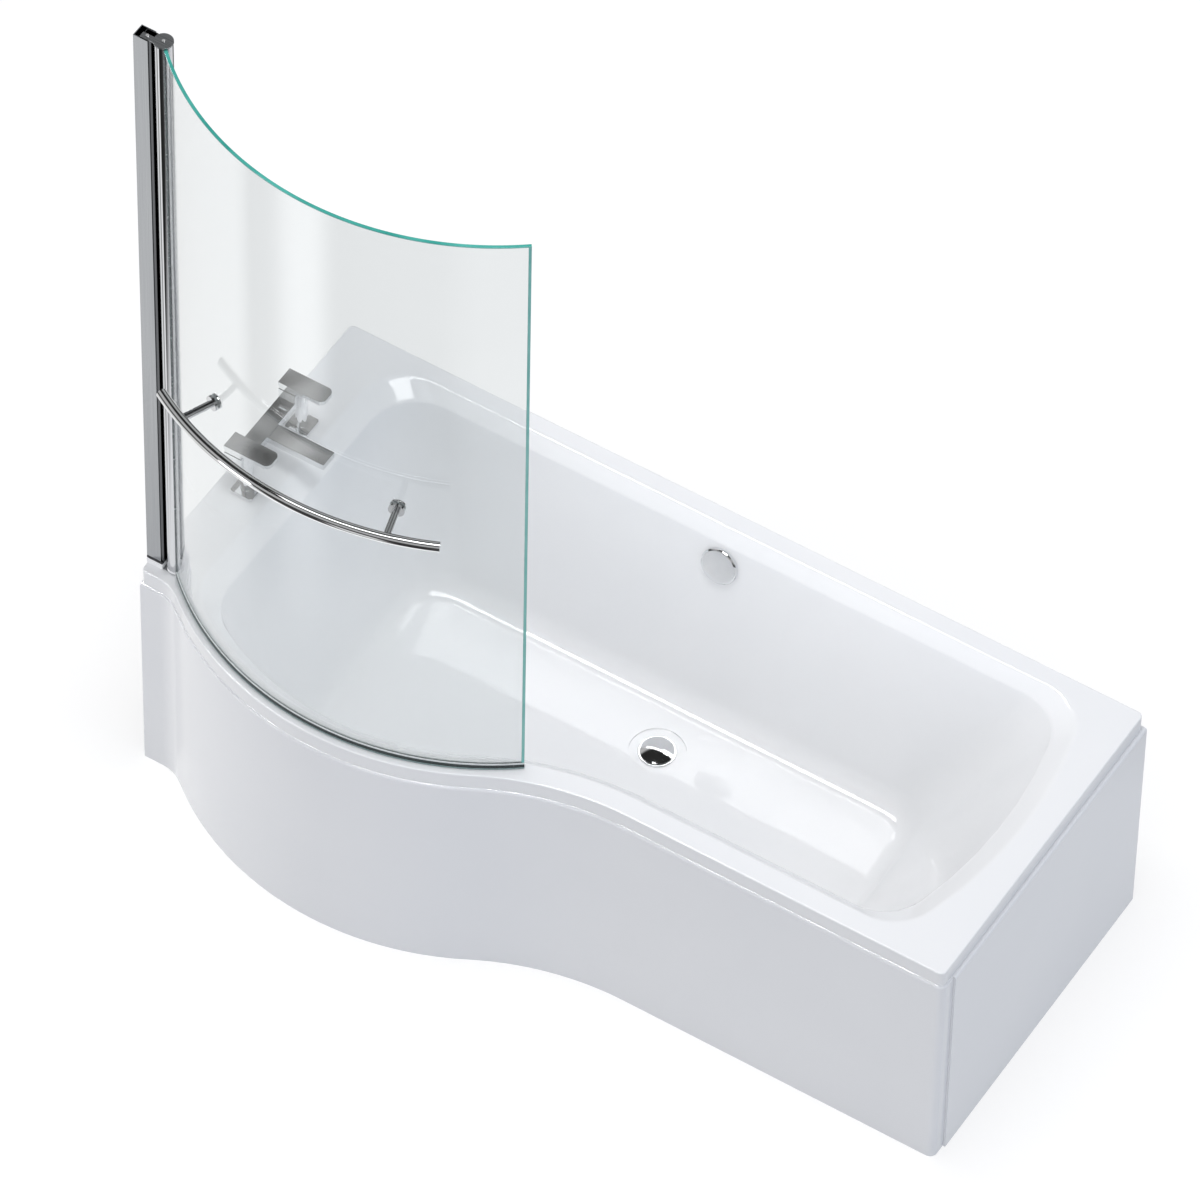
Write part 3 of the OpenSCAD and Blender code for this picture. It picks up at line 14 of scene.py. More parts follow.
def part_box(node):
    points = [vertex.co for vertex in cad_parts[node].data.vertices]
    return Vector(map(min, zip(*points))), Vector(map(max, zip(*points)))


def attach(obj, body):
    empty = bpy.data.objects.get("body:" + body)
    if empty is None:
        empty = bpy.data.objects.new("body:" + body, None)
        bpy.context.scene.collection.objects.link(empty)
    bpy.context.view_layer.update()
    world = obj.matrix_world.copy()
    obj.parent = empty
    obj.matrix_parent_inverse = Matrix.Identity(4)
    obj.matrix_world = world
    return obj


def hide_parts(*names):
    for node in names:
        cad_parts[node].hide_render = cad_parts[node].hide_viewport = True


MM = 0.001

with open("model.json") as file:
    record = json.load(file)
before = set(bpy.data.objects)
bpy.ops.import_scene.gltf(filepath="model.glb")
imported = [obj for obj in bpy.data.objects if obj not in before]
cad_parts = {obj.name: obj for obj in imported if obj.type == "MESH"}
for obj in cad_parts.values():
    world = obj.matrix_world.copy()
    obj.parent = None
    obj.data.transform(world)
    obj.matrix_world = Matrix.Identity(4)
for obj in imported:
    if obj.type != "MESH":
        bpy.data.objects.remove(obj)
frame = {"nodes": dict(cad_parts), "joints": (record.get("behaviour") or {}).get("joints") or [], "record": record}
nodes = frame["nodes"]
record = frame["record"]
body_of_node = {node: body for body, group in record["behaviour"]["bodies"].items()
                for node in group}
slot_of_node = {part["node"]: part["material_slot"] for part in record["subparts"]}
hinge = next(joint for joint in frame["joints"] if joint["name"] == "screen_swing")
hinge_axis = Vector(hinge["pos_m"])
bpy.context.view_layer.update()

# ---------- sizes of the glass ----------
BULGE_CENTRE = Vector((-0.389, 0.2075, 0))
GLASS_THICKNESS = 6 * MM
GLASS_END_DEG = 308.5
GLASS_STEPS = 96
GLASS_START = 9.8 * MM
GLASS_ARRIS = 0.5 * MM
# How far a painted reflection of the green edges reaches onto the faces, at the top and at the free end
TOP_REFLECTION_BAND = 2.5 * MM
END_REFLECTION_BAND = 5.0 * MM
# Faces of the pane that turn by more than this, in radians, meet at one of its edges
ARRIS_FROM = 1.0
# A face is broad when its normal lies along the radius at least this closely
ALONG_RADIUS = 0.99
GLASS_SHARP_DEG = 20


# ---------- light and camera ----------
FLOOR_REACH = 30
FLOOR_GREY = 0.36
FLOOR_GLOW = 0.69
# White floor in the reflections, out to where the studio goes dark
PAPER_EDGE = (1.2, 1.7)
# Soft light on the matt surfaces: (axis it comes from, strength, colour)
SKY_LOBES = (
    ((0, 0, 1), 0.91, (0.99, 0.995, 1.02)),
    ((0.92, 0, -0.4), 0.52, (0.76, 0.94, 1.24)),
    ((-0.92, 0, -0.4), 0.34, (0.99, 1.0, 1.03)),
    ((0, -0.92, -0.4), 0.42, (0.99, 0.995, 1.03)),
    ((0.5, -0.77, -0.4), 0.66, (0.99, 0.995, 1.03)),
)
# What the shiny surfaces see, in three bands. The lowest band holds light boxes and dark gaps,
# the middle one lit walls with two dark doorways: (azimuth from the tap end in degrees, radiance)
LIGHT_BOXES = (
    (0, 0.95), (22, 1.0), (26, 0.76), (30, 0.33), (37, 0.33), (41, 0.5), (44, 0.8), (47, 1.1),
    (51, 1.3), (57, 1.3), (60, 1.0), (63, 0.5), (66, 0.13), (69, 0.02), (79, 0.02), (104, 0.04),
    (110, 0.24), (118, 0.46), (131, 0.46), (142, 0.26), (160, 0.14), (262, 0.12), (274, 0.03),
    (300, 0.03), (316, 0.6), (329, 0.9), (360, 0.95),
)
WALL_LIGHTS = (
    (0, 0.75), (58, 0.75), (62, 0.05), (78, 0.05), (82, 0.7), (92, 0.7), (96, 0.04), (108, 0.04),
    (112, 0.7), (360, 0.75),
)
# The highest band has a dark belt at the horizon, a pale field and a dark ceiling:
# (height of the unit direction, radiance)
ELEVATIONS = (
    (-0.05, 0.04), (0.25, 0.04), (0.35, 0.42), (0.60, 0.42), (0.745, 0.48), (0.797, 0.02),
    (1.0, 0.02),
)
# Heights of the unit direction over which a band goes over to the one above it
BOX_TOP = (-0.66, -0.56)
WALL_TOP = (-0.14, -0.05)
# Lamps: (place, point it faces, two sides, power in watts)
LAMPS = {
    "overhead": ((0.1, 0, 4.0), (0.1, 0, 0), (1.6, 0.9), 37),
    "front_left": ((-3.5, -4.5, 1.2), (0, 0, 0.4), (0.9, 1.2), 24),
    "low_left": ((-4.2, -0.42, 0.35), (-0.5, -0.3, 0.3), (0.6, 0.6), 32),
    "rail_box": ((-0.5, -0.3, 4.0), (-0.5, -0.3, 0), (2.0, 2.0), 26),
    "shell_strip": ((-1.3, 0.2, 4.0), (-1.3, 0.2, 0), (3.0, 0.7), 160),
    "panel_strip": ((-1.3, -0.6, 4.0), (-1.3, -0.6, 0), (3.0, 2.4), 1100),
}
# Lamps that only show as a gleam, with the pieces they show on
GLEAMS = {
    "rail_box": ("towel_rail", "filler_body", "lever_rear", "lever_front", "pillar_flanges"),
    "shell_strip": ("bath_shell",),
    "panel_strip": ("front_panel", "end_panel"),
}
# Camera fitted to the corners of the bath in the photo
CAMERA_PLACE = (6.462, -10.7405, 16.338)
CAMERA_TURN_DEG = (38.844, -0.8174, 32.149)
CAMERA_LENS_MM = 336.12
CAMERA_SENSOR_MM = 36
CAMERA_REACH = 100


# ---------- node trees ----------
def calculated(tree, operation, *values):
    """Output of a math node over the values, each a float or another node's output."""
    made = tree.nodes.new("ShaderNodeMath")
    made.operation = operation
    for socket, value in zip(made.inputs, values):
        if isinstance(value, float):
            socket.default_value = value
        else:
            tree.links.new(value, socket)
    return made.outputs["Value"]


def mixed(tree, factor, a, b):
    """Shader a, going over to b as the factor goes from 0 to 1."""
    join = tree.nodes.new("ShaderNodeMixShader")
    for socket, output in zip(join.inputs, (factor, a, b)):
        tree.links.new(output, socket)
    return join.outputs["Shader"]


def set_stops(ramp, stops):
    """Gives the colour ramp the stops, each a (position, colour)."""
    knots = ramp.color_ramp.elements
    while len(knots) < len(stops):
        knots.new(0.5)
    for knot, (position, colour) in zip(knots, stops):
        knot.position = position
        knot.color = (*colour, 1)


def mirrored(tree):
    """1 for a ray that came off a shiny surface, also where it went on through the glass."""
    path = tree.nodes.new("ShaderNodeLightPath")
    once = calculated(tree, "MINIMUM", path.outputs["Glossy Depth"], 1.0)
    either = calculated(tree, "MAXIMUM", path.outputs["Is Glossy Ray"],
                        path.outputs["Is Transmission Ray"])
    return calculated(tree, "MULTIPLY", once, either)


def seen_as_white(tree, level, *more):
    """Strength that is level to the camera, through glass and to the further kinds of ray.

    Other rays get nothing.
    """
    path = tree.nodes.new("ShaderNodeLightPath")
    seen = path.outputs["Is Camera Ray"]
    for kind in ("Is Transmission Ray", *more):
        seen = calculated(tree, "MAXIMUM", seen, path.outputs[kind])
    return calculated(tree, "MULTIPLY", seen, level)


# ---------- finishes ----------
# Noise rarely leaves this span, so the finishes spread their values over it
NOISE_SPAN = (0.3, 0.7)
# Share of a band's colour that the darkest mottle leaves
MOTTLE_DARK = 0.9


class Finish:
    """A Principled material whose colour, roughness and surface vary over the piece."""

    def __init__(self, name, metallic=0.0, **sockets):
        self.material = bpy.data.materials.new(name)
        self.material.use_nodes = True
        self.tree = self.material.node_tree
        self.shader = self.tree.nodes["Principled BSDF"]
        self.shader.inputs["Metallic"].default_value = metallic
        for socket, value in sockets.items():
            self.shader.inputs[socket.replace("_", " ")].default_value = value
        self.place = self.add("ShaderNodeTexCoord").outputs["Object"]

    def add(self, kind, **inputs):
        made = self.tree.nodes.new(kind)
        for name, value in inputs.items():
            made.inputs[name.replace("_", " ")].default_value = value
        return made

    def link(self, output, socket):
        self.tree.links.new(output, socket)

    def noise(self, scale, stretch=(1, 1, 1), detail=3.0):
        """Soft noise with scale features to the metre, stretched along the axes."""
        turn = self.add("ShaderNodeMapping", Scale=stretch)
        made = self.add("ShaderNodeTexNoise", Scale=scale, Detail=detail)
        self.link(self.place, turn.inputs["Vector"])
        self.link(turn.outputs["Vector"], made.inputs["Vector"])
        return made.outputs["Fac"]

    def cells(self, scale):
        """Crystals with scale of them to the metre."""
        made = self.add("ShaderNodeTexVoronoi", Scale=scale)
        self.link(self.place, made.inputs["Vector"])
        return made.outputs["Color"]

    def spread(self, value, span, low=0.0, high=1.0):
        """The value, stretched from the span to between low and high."""
        made = self.add("ShaderNodeMapRange", From_Min=span[0], From_Max=span[1],
                        To_Min=low, To_Max=high)
        self.link(value, made.inputs["Value"])
        return made.outputs["Result"]

    def colour(self, factor, dark, light, span=NOISE_SPAN):
        ramp = self.add("ShaderNodeValToRGB")
        set_stops(ramp, tuple(zip(span, (dark, light))))
        self.link(factor, ramp.inputs["Fac"])
        self.link(ramp.outputs["Color"], self.shader.inputs["Base Color"])

    def bands(self, stops, mottle, span):
        """Colours by height, between the two heights of span, with the mottle over them."""
        split = self.add("ShaderNodeSeparateXYZ")
        self.link(self.place, split.inputs["Vector"])
        rise = self.spread(split.outputs["Z"], span)
        ramp = self.add("ShaderNodeValToRGB")
        set_stops(ramp, [((height - span[0]) / (span[1] - span[0]), colour)
                         for height, colour in stops])
        self.link(rise, ramp.inputs["Fac"])
        blend = self.add("ShaderNodeVectorMath")
        blend.operation = "MULTIPLY"
        self.link(ramp.outputs["Color"], blend.inputs[0])
        self.link(self.spread(mottle, NOISE_SPAN, MOTTLE_DARK), blend.inputs[1])
        self.link(blend.outputs["Vector"], self.shader.inputs["Base Color"])

    def roughness(self, factor, low, high):
        self.link(self.spread(factor, NOISE_SPAN, low, high), self.shader.inputs["Roughness"])

    def relief(self, factor, height):
        bump = self.add("ShaderNodeBump", Distance=height, Strength=1.0)
        self.link(factor, bump.inputs["Height"])
        self.link(bump.outputs["Normal"], self.shader.inputs["Normal"])

    def show(self, shader):
        """Puts another shader in the Principled one's place."""
        self.link(shader, self.tree.nodes["Material Output"].inputs["Surface"])


# Colours by height above the floor, and the heights between which they lie
SEAL_SPAN = (0.544, 0.561)
SEAL_BANDS = (
    (0.5445, (0.18, 0.26, 0.255)), (0.5482, (0.24, 0.33, 0.32)), (0.5486, (0.006, 0.018, 0.018)),
    (0.5566, (0.006, 0.018, 0.018)), (0.5571, (0.62, 0.65, 0.65)), (0.5600, (0.72, 0.75, 0.75)),
)
PLATING_SPAN = (0.530, 0.560)
PLATING_BANDS = (
    (0.5350, (0.62, 0.46, 0.20)), (0.5380, (0.80, 0.81, 0.82)), (0.5590, (0.82, 0.83, 0.84)),
)


def gloss_acrylic():
    finish = Finish("gloss_acrylic", IOR=1.49)
    cloud = finish.noise(3.0)
    finish.colour(cloud, (0.845, 0.852, 0.862), (0.868, 0.872, 0.878))
    finish.roughness(finish.noise(40.0), 0.035, 0.06)
    finish.relief(finish.noise(9.0, detail=1.0), 0.12 * MM)
    return finish.material


def panel_acrylic():
    finish = Finish("panel_acrylic", IOR=1.49)
    cloud = finish.noise(2.5)
    finish.colour(cloud, (0.83, 0.838, 0.855), (0.855, 0.862, 0.875))
    finish.roughness(finish.noise(35.0), 0.08, 0.13)
    finish.relief(finish.noise(7.0, detail=1.0), 0.05 * MM)
    return finish.material


def sawn_timber():
    finish = Finish("sawn_timber")
    grain = finish.noise(60.0, stretch=(0.12, 1, 1), detail=6.0)
    finish.colour(grain, (0.36, 0.22, 0.11), (0.62, 0.45, 0.27))
    finish.roughness(grain, 0.65, 0.85)
    finish.relief(grain, 0.4 * MM)
    return finish.material


def zinc_steel():
    finish = Finish("zinc_steel", metallic=1.0)
    spangle = finish.cells(160.0)
    finish.colour(spangle, (0.46, 0.48, 0.50), (0.66, 0.68, 0.70), span=(0.1, 0.9))
    finish.roughness(finish.noise(90.0), 0.30, 0.48)
    finish.relief(finish.noise(500.0), 0.03 * MM)
    return finish.material


def black_moulding():
    finish = Finish("black_moulding")
    finish.colour(finish.noise(30.0), (0.018, 0.018, 0.020), (0.032, 0.032, 0.034))
    finish.roughness(finish.noise(150.0), 0.45, 0.6)
    finish.relief(finish.noise(1200.0), 0.04 * MM)
    return finish.material


def grey_rubber():
    finish = Finish("grey_rubber")
    finish.colour(finish.noise(40.0), (0.02, 0.02, 0.022), (0.045, 0.045, 0.048))
    finish.roughness(finish.noise(200.0), 0.65, 0.85)
    finish.relief(finish.noise(900.0), 0.05 * MM)
    return finish.material


def seal_strip():
    """Pale lip above, a black bead under the glass and a grey-green sole."""
    finish = Finish("seal_strip")
    finish.bands(SEAL_BANDS, finish.noise(30.0), SEAL_SPAN)
    finish.roughness(finish.noise(120.0), 0.22, 0.34)
    finish.relief(finish.noise(300.0, stretch=(1, 1, 0.1)), 0.03 * MM)
    return finish.material


def white_moulding():
    finish = Finish("white_moulding", IOR=1.5)
    finish.colour(finish.noise(20.0), (0.90, 0.905, 0.91), (0.94, 0.94, 0.94))
    finish.roughness(finish.noise(120.0), 0.28, 0.4)
    finish.relief(finish.noise(900.0), 0.03 * MM)
    return finish.material


def plated_brass():
    """Brass tail, chrome plated where it stands above the deck."""
    finish = Finish("plated_brass", metallic=1.0)
    finish.bands(PLATING_BANDS, finish.noise(60.0), PLATING_SPAN)
    finish.roughness(finish.noise(90.0), 0.10, 0.24)
    finish.relief(finish.noise(200.0), 0.02 * MM)
    return finish.material


def turned_brass():
    finish = Finish("turned_brass", metallic=1.0)
    rings = finish.noise(40.0, stretch=(0.3, 0.3, 20), detail=4.0)
    finish.colour(rings, (0.55, 0.38, 0.15), (0.80, 0.61, 0.30))
    finish.roughness(rings, 0.22, 0.4)
    finish.relief(rings, 0.04 * MM)
    return finish.material


def bright_chrome():
    finish = Finish("bright_chrome", metallic=1.0)
    finish.colour(finish.noise(25.0), (0.84, 0.85, 0.86), (0.90, 0.905, 0.91))
    finish.roughness(finish.noise(80.0), 0.04, 0.09)
    finish.relief(finish.noise(30.0, detail=1.0), 0.03 * MM)
    return finish.material


def shade_painted_chrome():
    """Chrome of the hinge tube and the rail posts, darker than the bright chrome as painted shade, with fine
    upright lines.
    """
    finish = Finish("shade_painted_chrome", metallic=1.0)
    lines = finish.noise(700.0, stretch=(1, 1, 0.004))
    finish.colour(lines, (0.58, 0.59, 0.605), (0.68, 0.69, 0.705))
    finish.roughness(lines, 0.03, 0.06)
    finish.relief(lines, 0.006 * MM)
    return finish.material


def tap_chrome():
    """Chrome of the flat tap pieces, that bow a little so that the light runs over them."""
    finish = Finish("tap_chrome", metallic=1.0)
    finish.colour(finish.noise(25.0), (0.82, 0.835, 0.845), (0.88, 0.89, 0.895))
    finish.roughness(finish.noise(80.0), 0.05, 0.10)
    finish.relief(finish.noise(13.0, detail=0.0), 1.8 * MM)
    return finish.material


def polished_aluminium(name, dark, light):
    """Anodised aluminium with fine lines along the profile, in the colours given; a darker copy of it is painted
    shade.
    """
    finish = Finish(name, metallic=1.0)
    lines = finish.noise(900.0, stretch=(1, 1, 0.004), detail=4.0)
    finish.colour(lines, dark, light)
    finish.roughness(lines, 0.07, 0.13)
    finish.relief(lines, 0.01 * MM)
    return finish.material


def satin_steel():
    finish = Finish("satin_steel", metallic=1.0)
    lines = finish.noise(900.0, stretch=(0.02, 1, 1), detail=4.0)
    finish.colour(lines, (0.24, 0.25, 0.26), (0.36, 0.37, 0.38))
    finish.roughness(lines, 0.24, 0.36)
    finish.relief(lines, 0.02 * MM)
    return finish.material


def clear_moulding():
    finish = Finish("clear_moulding", IOR=1.46, Transmission_Weight=0.85)
    finish.colour(finish.noise(30.0), (0.72, 0.75, 0.76), (0.84, 0.87, 0.87))
    finish.roughness(finish.noise(150.0), 0.16, 0.28)
    return let_light_through(finish)


def clear_glass():
    finish = Finish("clear_glass", IOR=1.45, Transmission_Weight=1.0)
    finish.colour(finish.noise(2.0), (0.840, 0.862, 0.864), (0.850, 0.870, 0.870))
    finish.roughness(finish.noise(20.0), 0.0, 0.012)
    return let_light_through(finish)


def glass_edge(name, dark, light):
    """Green of the polished edge, or the painted reflection of that green on the faces beside it."""
    finish = Finish(name, IOR=1.5)
    streaks = finish.noise(18.0, detail=4.0)
    finish.colour(streaks, dark, light)
    finish.roughness(streaks, 0.10, 0.22)
    return finish.material


def let_light_through(finish):
    """Shadow rays pass the clear piece, so that it casts no dark shadow."""
    path = finish.add("ShaderNodeLightPath")
    clear = finish.add("ShaderNodeBsdfTransparent", Color=(0.985, 0.99, 0.99, 1))
    finish.show(mixed(finish.tree, path.outputs["Is Shadow Ray"],
                      finish.shader.outputs["BSDF"], clear.outputs["BSDF"]))
    return finish.material


FINISHES = {
    "acrylic": gloss_acrylic(),
    "panel": panel_acrylic(),
    "wood": sawn_timber(),
    "steel": zinc_steel(),
    "black_plastic": black_moulding(),
    "rubber": grey_rubber(),
    "seal": seal_strip(),
    "white_plastic": white_moulding(),
    "brass": turned_brass(),
    "chrome": bright_chrome(),
    "tap_chrome": tap_chrome(),
    "polished_aluminium": polished_aluminium(
        "polished_aluminium", (0.29, 0.30, 0.312), (0.36, 0.37, 0.382)),
    # A darker copy of the aluminium: painted shade on the post profile
    "shade_painted_aluminium": polished_aluminium(
        "shade_painted_aluminium", (0.07, 0.073, 0.08), (0.11, 0.115, 0.12)),
    "arm_steel": satin_steel(),
    "clear_plastic": clear_moulding(),
    "plated_brass": plated_brass(),
    "glass": clear_glass(),
    "glass_edge": glass_edge("glass_edge", (0.020, 0.24, 0.20), (0.06, 0.34, 0.29)),
    # Lighter green for the faces beside the edges: a painted reflection of the green edges
    "painted_edge_reflection": glass_edge("painted_edge_reflection", (0.16, 0.46, 0.42), (0.24, 0.54, 0.50)),
    "shade_painted_chrome": shade_painted_chrome(),
}
# Nodes whose finish is a variant of their slot's
OWN_FINISH = {
    "tap_tails": "plated_brass",
    "filler_body": "tap_chrome",
    "lever_rear": "tap_chrome",
    "lever_front": "tap_chrome",
    # The tube and the rail posts take a darker chrome, which is painted shade
    "hinge_tube": "shade_painted_chrome",
    "rail_posts": "shade_painted_chrome",
    # The post profile takes the aluminium with painted shade
    "post_profile": "shade_painted_aluminium",
    "screen_screws": "chrome",
}


def finish_of(node):
    return FINISHES[OWN_FINISH.get(node, slot_of_node[node])]


# ---------- pieces that take the node's own shape ----------
# Points closer than this are one, and faces within this angle are flat
WELD_GAP = 0.005 * MM
FLAT_DEG = 0.1
# Angle in degrees from which an edge stays crisp: as a rule, and on the shell
SHARP_DEG = 32
SHARP_FROM = {"bath_shell": 24}
# A rounded piece has no crisp edge left
NO_SHARP_DEG = 180
ROUNDING_STEPS = 3
# Radii of the rounded edges; a radius of 0 only takes the node into one smooth mesh
EDGE_RADII = {
    "bath_shell": 0.0,
    "front_panel": 0.0,
    "end_panel": 0.0,
    "pillar_flanges": 0.8 * MM,
    "filler_pillars": 0.5 * MM,
    "filler_body": 0.9 * MM,
    "lever_rear": 0.9 * MM,
    "lever_front": 0.9 * MM,
    "wall_channel": 0.6 * MM,
    "post_profile": 0.6 * MM,
    "hinge_tube": 0.3 * MM,
    "hinge_brackets": 0.7 * MM,
    "rail_posts": 0.4 * MM,
    "rail_screws": 0.8 * MM,
    "screen_screws": 0.9 * MM,
    "foot_block": 0.4 * MM,
    "channel_pad": 0.3 * MM,
}
# The rubber pad bulges out from under the channel, along and across the wall
BULGE_OUT = {"channel_pad": (33.5 / 29, 29.6 / 26)}


def stand_for(piece, node):
    """The piece moves and shows in place of the node."""
    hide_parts(node)
    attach(piece, body_of_node[node])


def new_piece(name, bm, *materials):
    mesh = bpy.data.meshes.new(name)
    bm.to_mesh(mesh)
    bm.free()
    for material in materials:
        mesh.materials.append(material)
    piece = bpy.data.objects.new(name, mesh)
    bpy.context.scene.collection.objects.link(piece)
    return piece


def smooth(piece, angle):
    """Shades the piece as one surface, broken at edges sharper than the angle in degrees."""
    piece.data.shade_smooth()
    piece.data.set_sharp_from_angle(angle=radians(angle))
    weigh = piece.modifiers.new("weighted_normals", "WEIGHTED_NORMAL")
    weigh.keep_sharp = True


def fine_copy(node, edge):
    """The node's shape in one closed mesh, with its sharp edges rounded by edge."""
    bm = bmesh.new()
    bm.from_mesh(nodes[node].data, vertex_normals=False)
    bmesh.ops.remove_doubles(bm, verts=bm.verts, dist=WELD_GAP)
    bmesh.ops.dissolve_limit(bm, angle_limit=radians(FLAT_DEG), verts=bm.verts, edges=bm.edges)
    low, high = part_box(node)
    bmesh.ops.scale(bm, vec=(*BULGE_OUT.get(node, (1, 1)), 1), verts=bm.verts,
                    space=Matrix.Translation((-low.x, -(low.y + high.y) / 2, 0)))
    piece = new_piece(node + "_fine", bm, finish_of(node))
    sharp = SHARP_FROM.get(node, SHARP_DEG)
    if edge:
        bevel = piece.modifiers.new("rounded_edges", "BEVEL")
        bevel.width = edge
        bevel.segments = ROUNDING_STEPS
        bevel.limit_method = "ANGLE"
        bevel.angle_limit = radians(sharp)
    smooth(piece, NO_SHARP_DEG if edge else sharp)
    stand_for(piece, node)


# ---------- glass ----------
def glass_pane():
    """Curved pane spun about the bulge centre, with clear faces, green edges and a painted reflection of the green
    along the top and the free end of the faces.
    """
    low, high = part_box("glass_panel")
    spoke = hinge_axis - BULGE_CENTRE
    radius = spoke.to_2d().length
    first = atan2(spoke.y, spoke.x) + GLASS_START / radius
    last = radians(GLASS_END_DEG - 360)
    reflection_from = last - END_REFLECTION_BAND / radius
    bm = bmesh.new()
    reflection_z = high.z - TOP_REFLECTION_BAND
    corners = [BULGE_CENTRE + Vector((radius + side * GLASS_THICKNESS / 2, 0, z))
               for side, z in ((-1, low.z), (1, low.z), (1, reflection_z), (1, high.z), (-1, high.z),
                               (-1, reflection_z))]
    section = bm.faces.new([bm.verts.new(corner) for corner in corners])
    bmesh.ops.rotate(bm, verts=bm.verts, cent=BULGE_CENTRE, matrix=Matrix.Rotation(first, 3, "Z"))
    swept = {"geom_last": [section, *section.edges, *section.verts]}
    for turn, steps in ((reflection_from - first, GLASS_STEPS), (last - reflection_from, 1)):
        swept = bmesh.ops.spin(bm, geom=swept["geom_last"], cent=BULGE_CENTRE, axis=(0, 0, 1),
                               angle=turn, steps=steps)
    bmesh.ops.recalc_face_normals(bm, faces=bm.faces)
    arrises = [edge for edge in bm.edges
               if len(edge.link_faces) == 2 and edge.calc_face_angle() > ARRIS_FROM]
    bmesh.ops.bevel(bm, geom=arrises, offset=GLASS_ARRIS, affect="EDGES", segments=2,
                    profile=0.5, material=-1)
    pane_finishes = ("glass", "glass_edge", "painted_edge_reflection")
    for face in bm.faces:
        middle = face.calc_center_median()
        across = middle - BULGE_CENTRE
        broad = abs(face.normal.to_2d().dot(across.to_2d().normalized())) > ALONG_RADIUS
        # Faces near the top and the free end take the painted reflection of the green edge
        inner = middle.z < reflection_z and atan2(across.y, across.x) < reflection_from
        face.material_index = pane_finishes.index(
            "glass_edge" if not broad else "glass" if inner else "painted_edge_reflection")
    pane = new_piece("curved_pane", bm, *(FINISHES[finish] for finish in pane_finishes))
    smooth(pane, GLASS_SHARP_DEG)
    stand_for(pane, "glass_panel")


# ---------- floor, light and camera ----------
def floor():
    """Plain pale floor that shows white and keeps the bath's shadow."""
    bm = bmesh.new()
    bmesh.ops.create_grid(bm, x_segments=1, y_segments=1, size=FLOOR_REACH)
    finish = Finish("pale_floor", Roughness=0.9, Specular_IOR_Level=0.0)
    finish.shader.inputs["Base Color"].default_value = (FLOOR_GREY, FLOOR_GREY, FLOOR_GREY, 1)
    finish.shader.inputs["Emission Color"].default_value = (1, 1, 1, 1)
    finish.link(seen_as_white(finish.tree, FLOOR_GLOW, "Is Glossy Ray"),
                finish.shader.inputs["Emission Strength"])
    far = finish.add("ShaderNodeVectorMath")
    far.operation = "LENGTH"
    finish.link(finish.place, far.inputs[0])
    gone = calculated(finish.tree, "MULTIPLY", finish.spread(far.outputs["Value"], PAPER_EDGE),
                      mirrored(finish.tree))
    clear = finish.add("ShaderNodeBsdfTransparent")
    finish.show(mixed(finish.tree, gone, finish.shader.outputs["BSDF"], clear.outputs["BSDF"]))
    new_piece("floor", bm, finish.material)


def area_lamp(name, place, target, size, power):
    data = bpy.data.lights.new(name, "AREA")
    data.shape = "RECTANGLE"
    data.size, data.size_y = size
    data.energy = power
    lamp = bpy.data.objects.new(name, data)
    lamp.location = place
    facing = Vector(target) - Vector(place)
    lamp.rotation_euler = facing.to_track_quat("-Z", "Y").to_euler()
    lamp.visible_camera = lamp.visible_transmission = False
    bpy.context.scene.collection.objects.link(lamp)
    return lamp


def gleam(lamp, shown_on):
    """The lamp only shows as a gleam on the named nodes, or on their fine copies."""
    lamp.visible_diffuse = False
    lit = bpy.data.collections.new(lamp.name + "_pieces")
    for node in shown_on:
        lit.objects.link(bpy.data.objects.get(node + "_fine") or bpy.data.objects[node])
    lamp.light_linking.receiver_collection = lit


def leave_dark(lamp, piece):
    """The lamp passes over the named piece."""
    spared = bpy.data.collections.new(lamp.name + "_spared")
    spared.objects.link(bpy.data.objects[piece])
    spared.collection_objects[0].light_linking.link_state = "EXCLUDE"
    lamp.light_linking.receiver_collection = spared


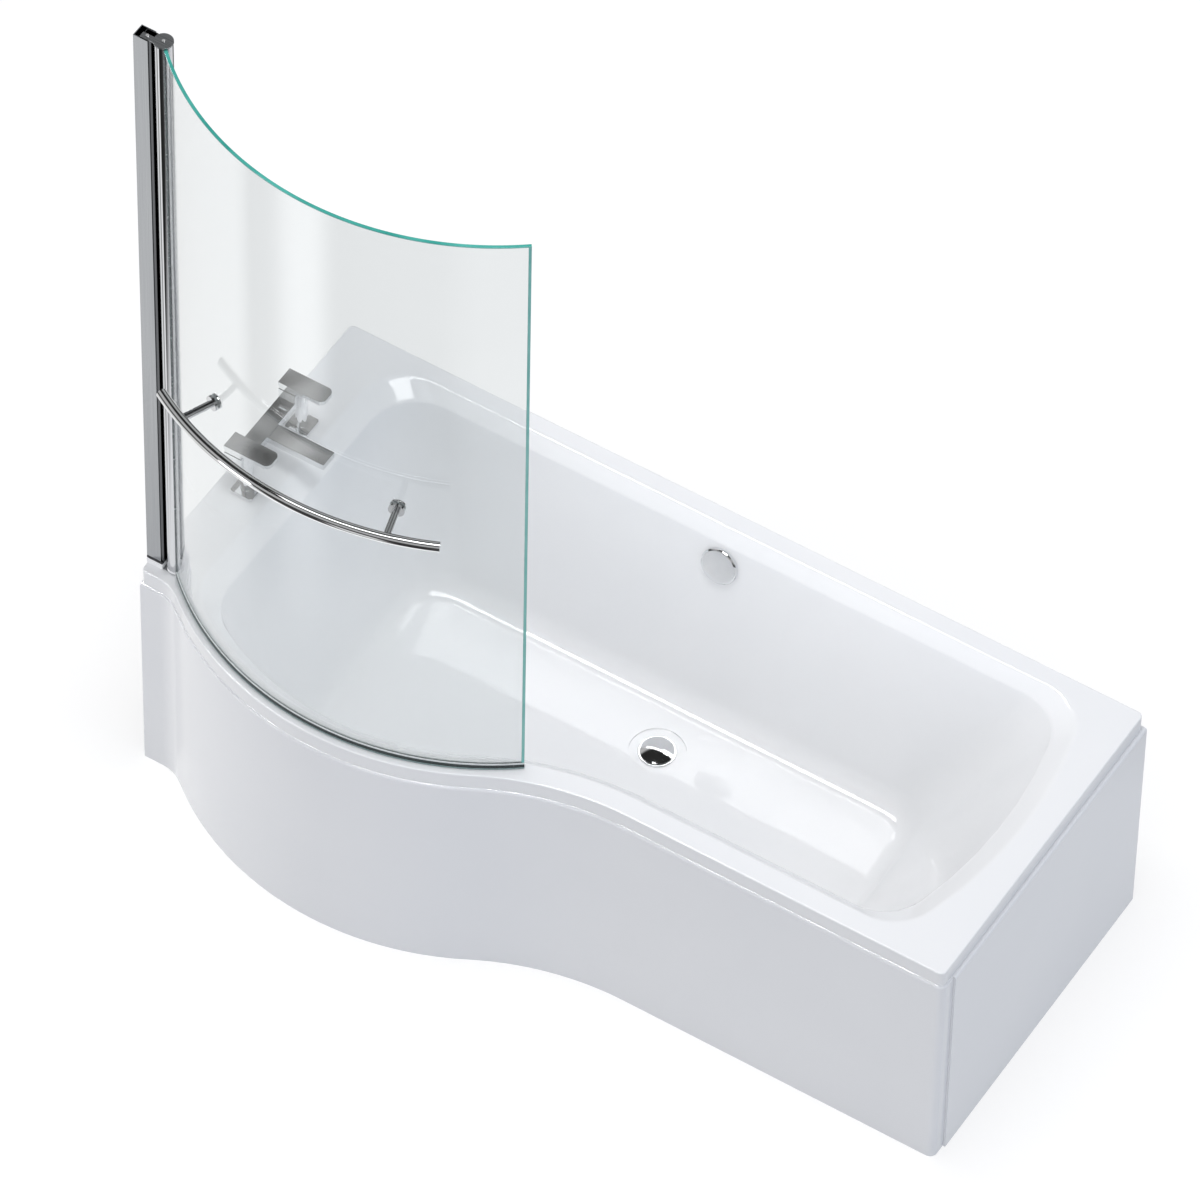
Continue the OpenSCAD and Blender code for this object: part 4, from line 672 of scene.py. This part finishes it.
class Sky:
    """World light: soft lobes for the matt surfaces, and a studio for the shiny ones."""

    def __init__(self):
        world = bpy.data.worlds.new("studio_sky")
        world.use_nodes = True
        bpy.context.scene.world = world
        self.tree = world.node_tree
        self.output = self.tree.nodes["World Output"]
        self.tree.nodes.remove(self.tree.nodes["Background"])
        self.way = self.tree.nodes.new("ShaderNodeTexCoord").outputs["Generated"]

    def background(self, colour=(1, 1, 1)):
        made = self.tree.nodes.new("ShaderNodeBackground")
        made.inputs["Color"].default_value = (*colour, 1)
        made.inputs["Strength"].default_value = 1.0
        return made

    def lobe(self, axis, strength, colour):
        """Light from one side, that falls off with the cosine from its axis."""
        dot = self.tree.nodes.new("ShaderNodeVectorMath")
        dot.operation = "DOT_PRODUCT"
        dot.inputs[1].default_value = axis
        self.tree.links.new(self.way, dot.inputs[0])
        made = self.background(colour)
        facing = calculated(self.tree, "MAXIMUM", dot.outputs["Value"], 0.0)
        self.tree.links.new(calculated(self.tree, "MULTIPLY", facing, strength),
                            made.inputs["Strength"])
        return made.outputs["Background"]

    def added(self, shaders):
        total = shaders[0]
        for shader in shaders[1:]:
            join = self.tree.nodes.new("ShaderNodeAddShader")
            self.tree.links.new(total, join.inputs[0])
            self.tree.links.new(shader, join.inputs[1])
            total = join.outputs["Shader"]
        return total

    def ramp(self, factor, stops, start=0.0, end=1.0):
        """Background whose strength follows the stops, given as (place, level)."""
        made = self.tree.nodes.new("ShaderNodeValToRGB")
        set_stops(made, [((place - start) / (end - start), (level, level, level))
                         for place, level in stops])
        self.tree.links.new(factor, made.inputs["Fac"])
        light = self.background()
        self.tree.links.new(made.outputs["Color"], light.inputs["Color"])
        return light.outputs["Background"]

    def studio(self):
        """The three bands of light, the highest one first and each lower one laid below it."""
        split = self.tree.nodes.new("ShaderNodeSeparateXYZ")
        self.tree.links.new(self.way, split.inputs["Vector"])
        around = calculated(self.tree, "ARCTAN2", split.outputs["Y"], split.outputs["X"])
        turn = calculated(self.tree, "ADD", calculated(self.tree, "DIVIDE", around, tau), 0.5)
        height = calculated(self.tree, "ADD",
                            calculated(self.tree, "MULTIPLY", split.outputs["Z"], 0.5), 0.5)
        shown = self.ramp(height, ELEVATIONS, start=-1.0)
        for (low, high), lights in ((WALL_TOP, WALL_LIGHTS), (BOX_TOP, LIGHT_BOXES)):
            rise = self.tree.nodes.new("ShaderNodeMapRange")
            rise.inputs["From Min"].default_value = low
            rise.inputs["From Max"].default_value = high
            self.tree.links.new(split.outputs["Z"], rise.inputs["Value"])
            shown = mixed(self.tree, rise.outputs["Result"], self.ramp(turn, lights, end=360),
                          shown)
        return shown

    def finish(self):
        soft = self.added([self.lobe(*lobe) for lobe in SKY_LOBES])
        white = self.background().outputs["Background"]
        plain = mixed(self.tree, seen_as_white(self.tree, 1.0), soft, white)
        shown = mixed(self.tree, mirrored(self.tree), plain, self.studio())
        self.tree.links.new(shown, self.output.inputs["Surface"])


def camera():
    data = bpy.data.cameras.new("camera")
    data.sensor_width = CAMERA_SENSOR_MM
    data.lens = CAMERA_LENS_MM
    data.clip_end = CAMERA_REACH
    view = bpy.data.objects.new("camera", data)
    view.location = CAMERA_PLACE
    view.rotation_euler = [radians(turn) for turn in CAMERA_TURN_DEG]
    bpy.context.scene.collection.objects.link(view)
    bpy.context.scene.camera = view


camera()
for node_name, node_object in nodes.items():
    node_object.material_slots[0].link = "OBJECT"
    node_object.material_slots[0].material = finish_of(node_name)
for node_name, edge_radius in EDGE_RADII.items():
    fine_copy(node_name, edge_radius)

glass_pane()
floor()
Sky().finish()
for lamp_name, setting in LAMPS.items():
    studio_lamp = area_lamp(lamp_name, *setting)
    if lamp_name in GLEAMS:
        gleam(studio_lamp, GLEAMS[lamp_name])
leave_dark(bpy.data.objects["low_left"], "floor")

bpy.context.scene.view_settings.view_transform = "Standard"
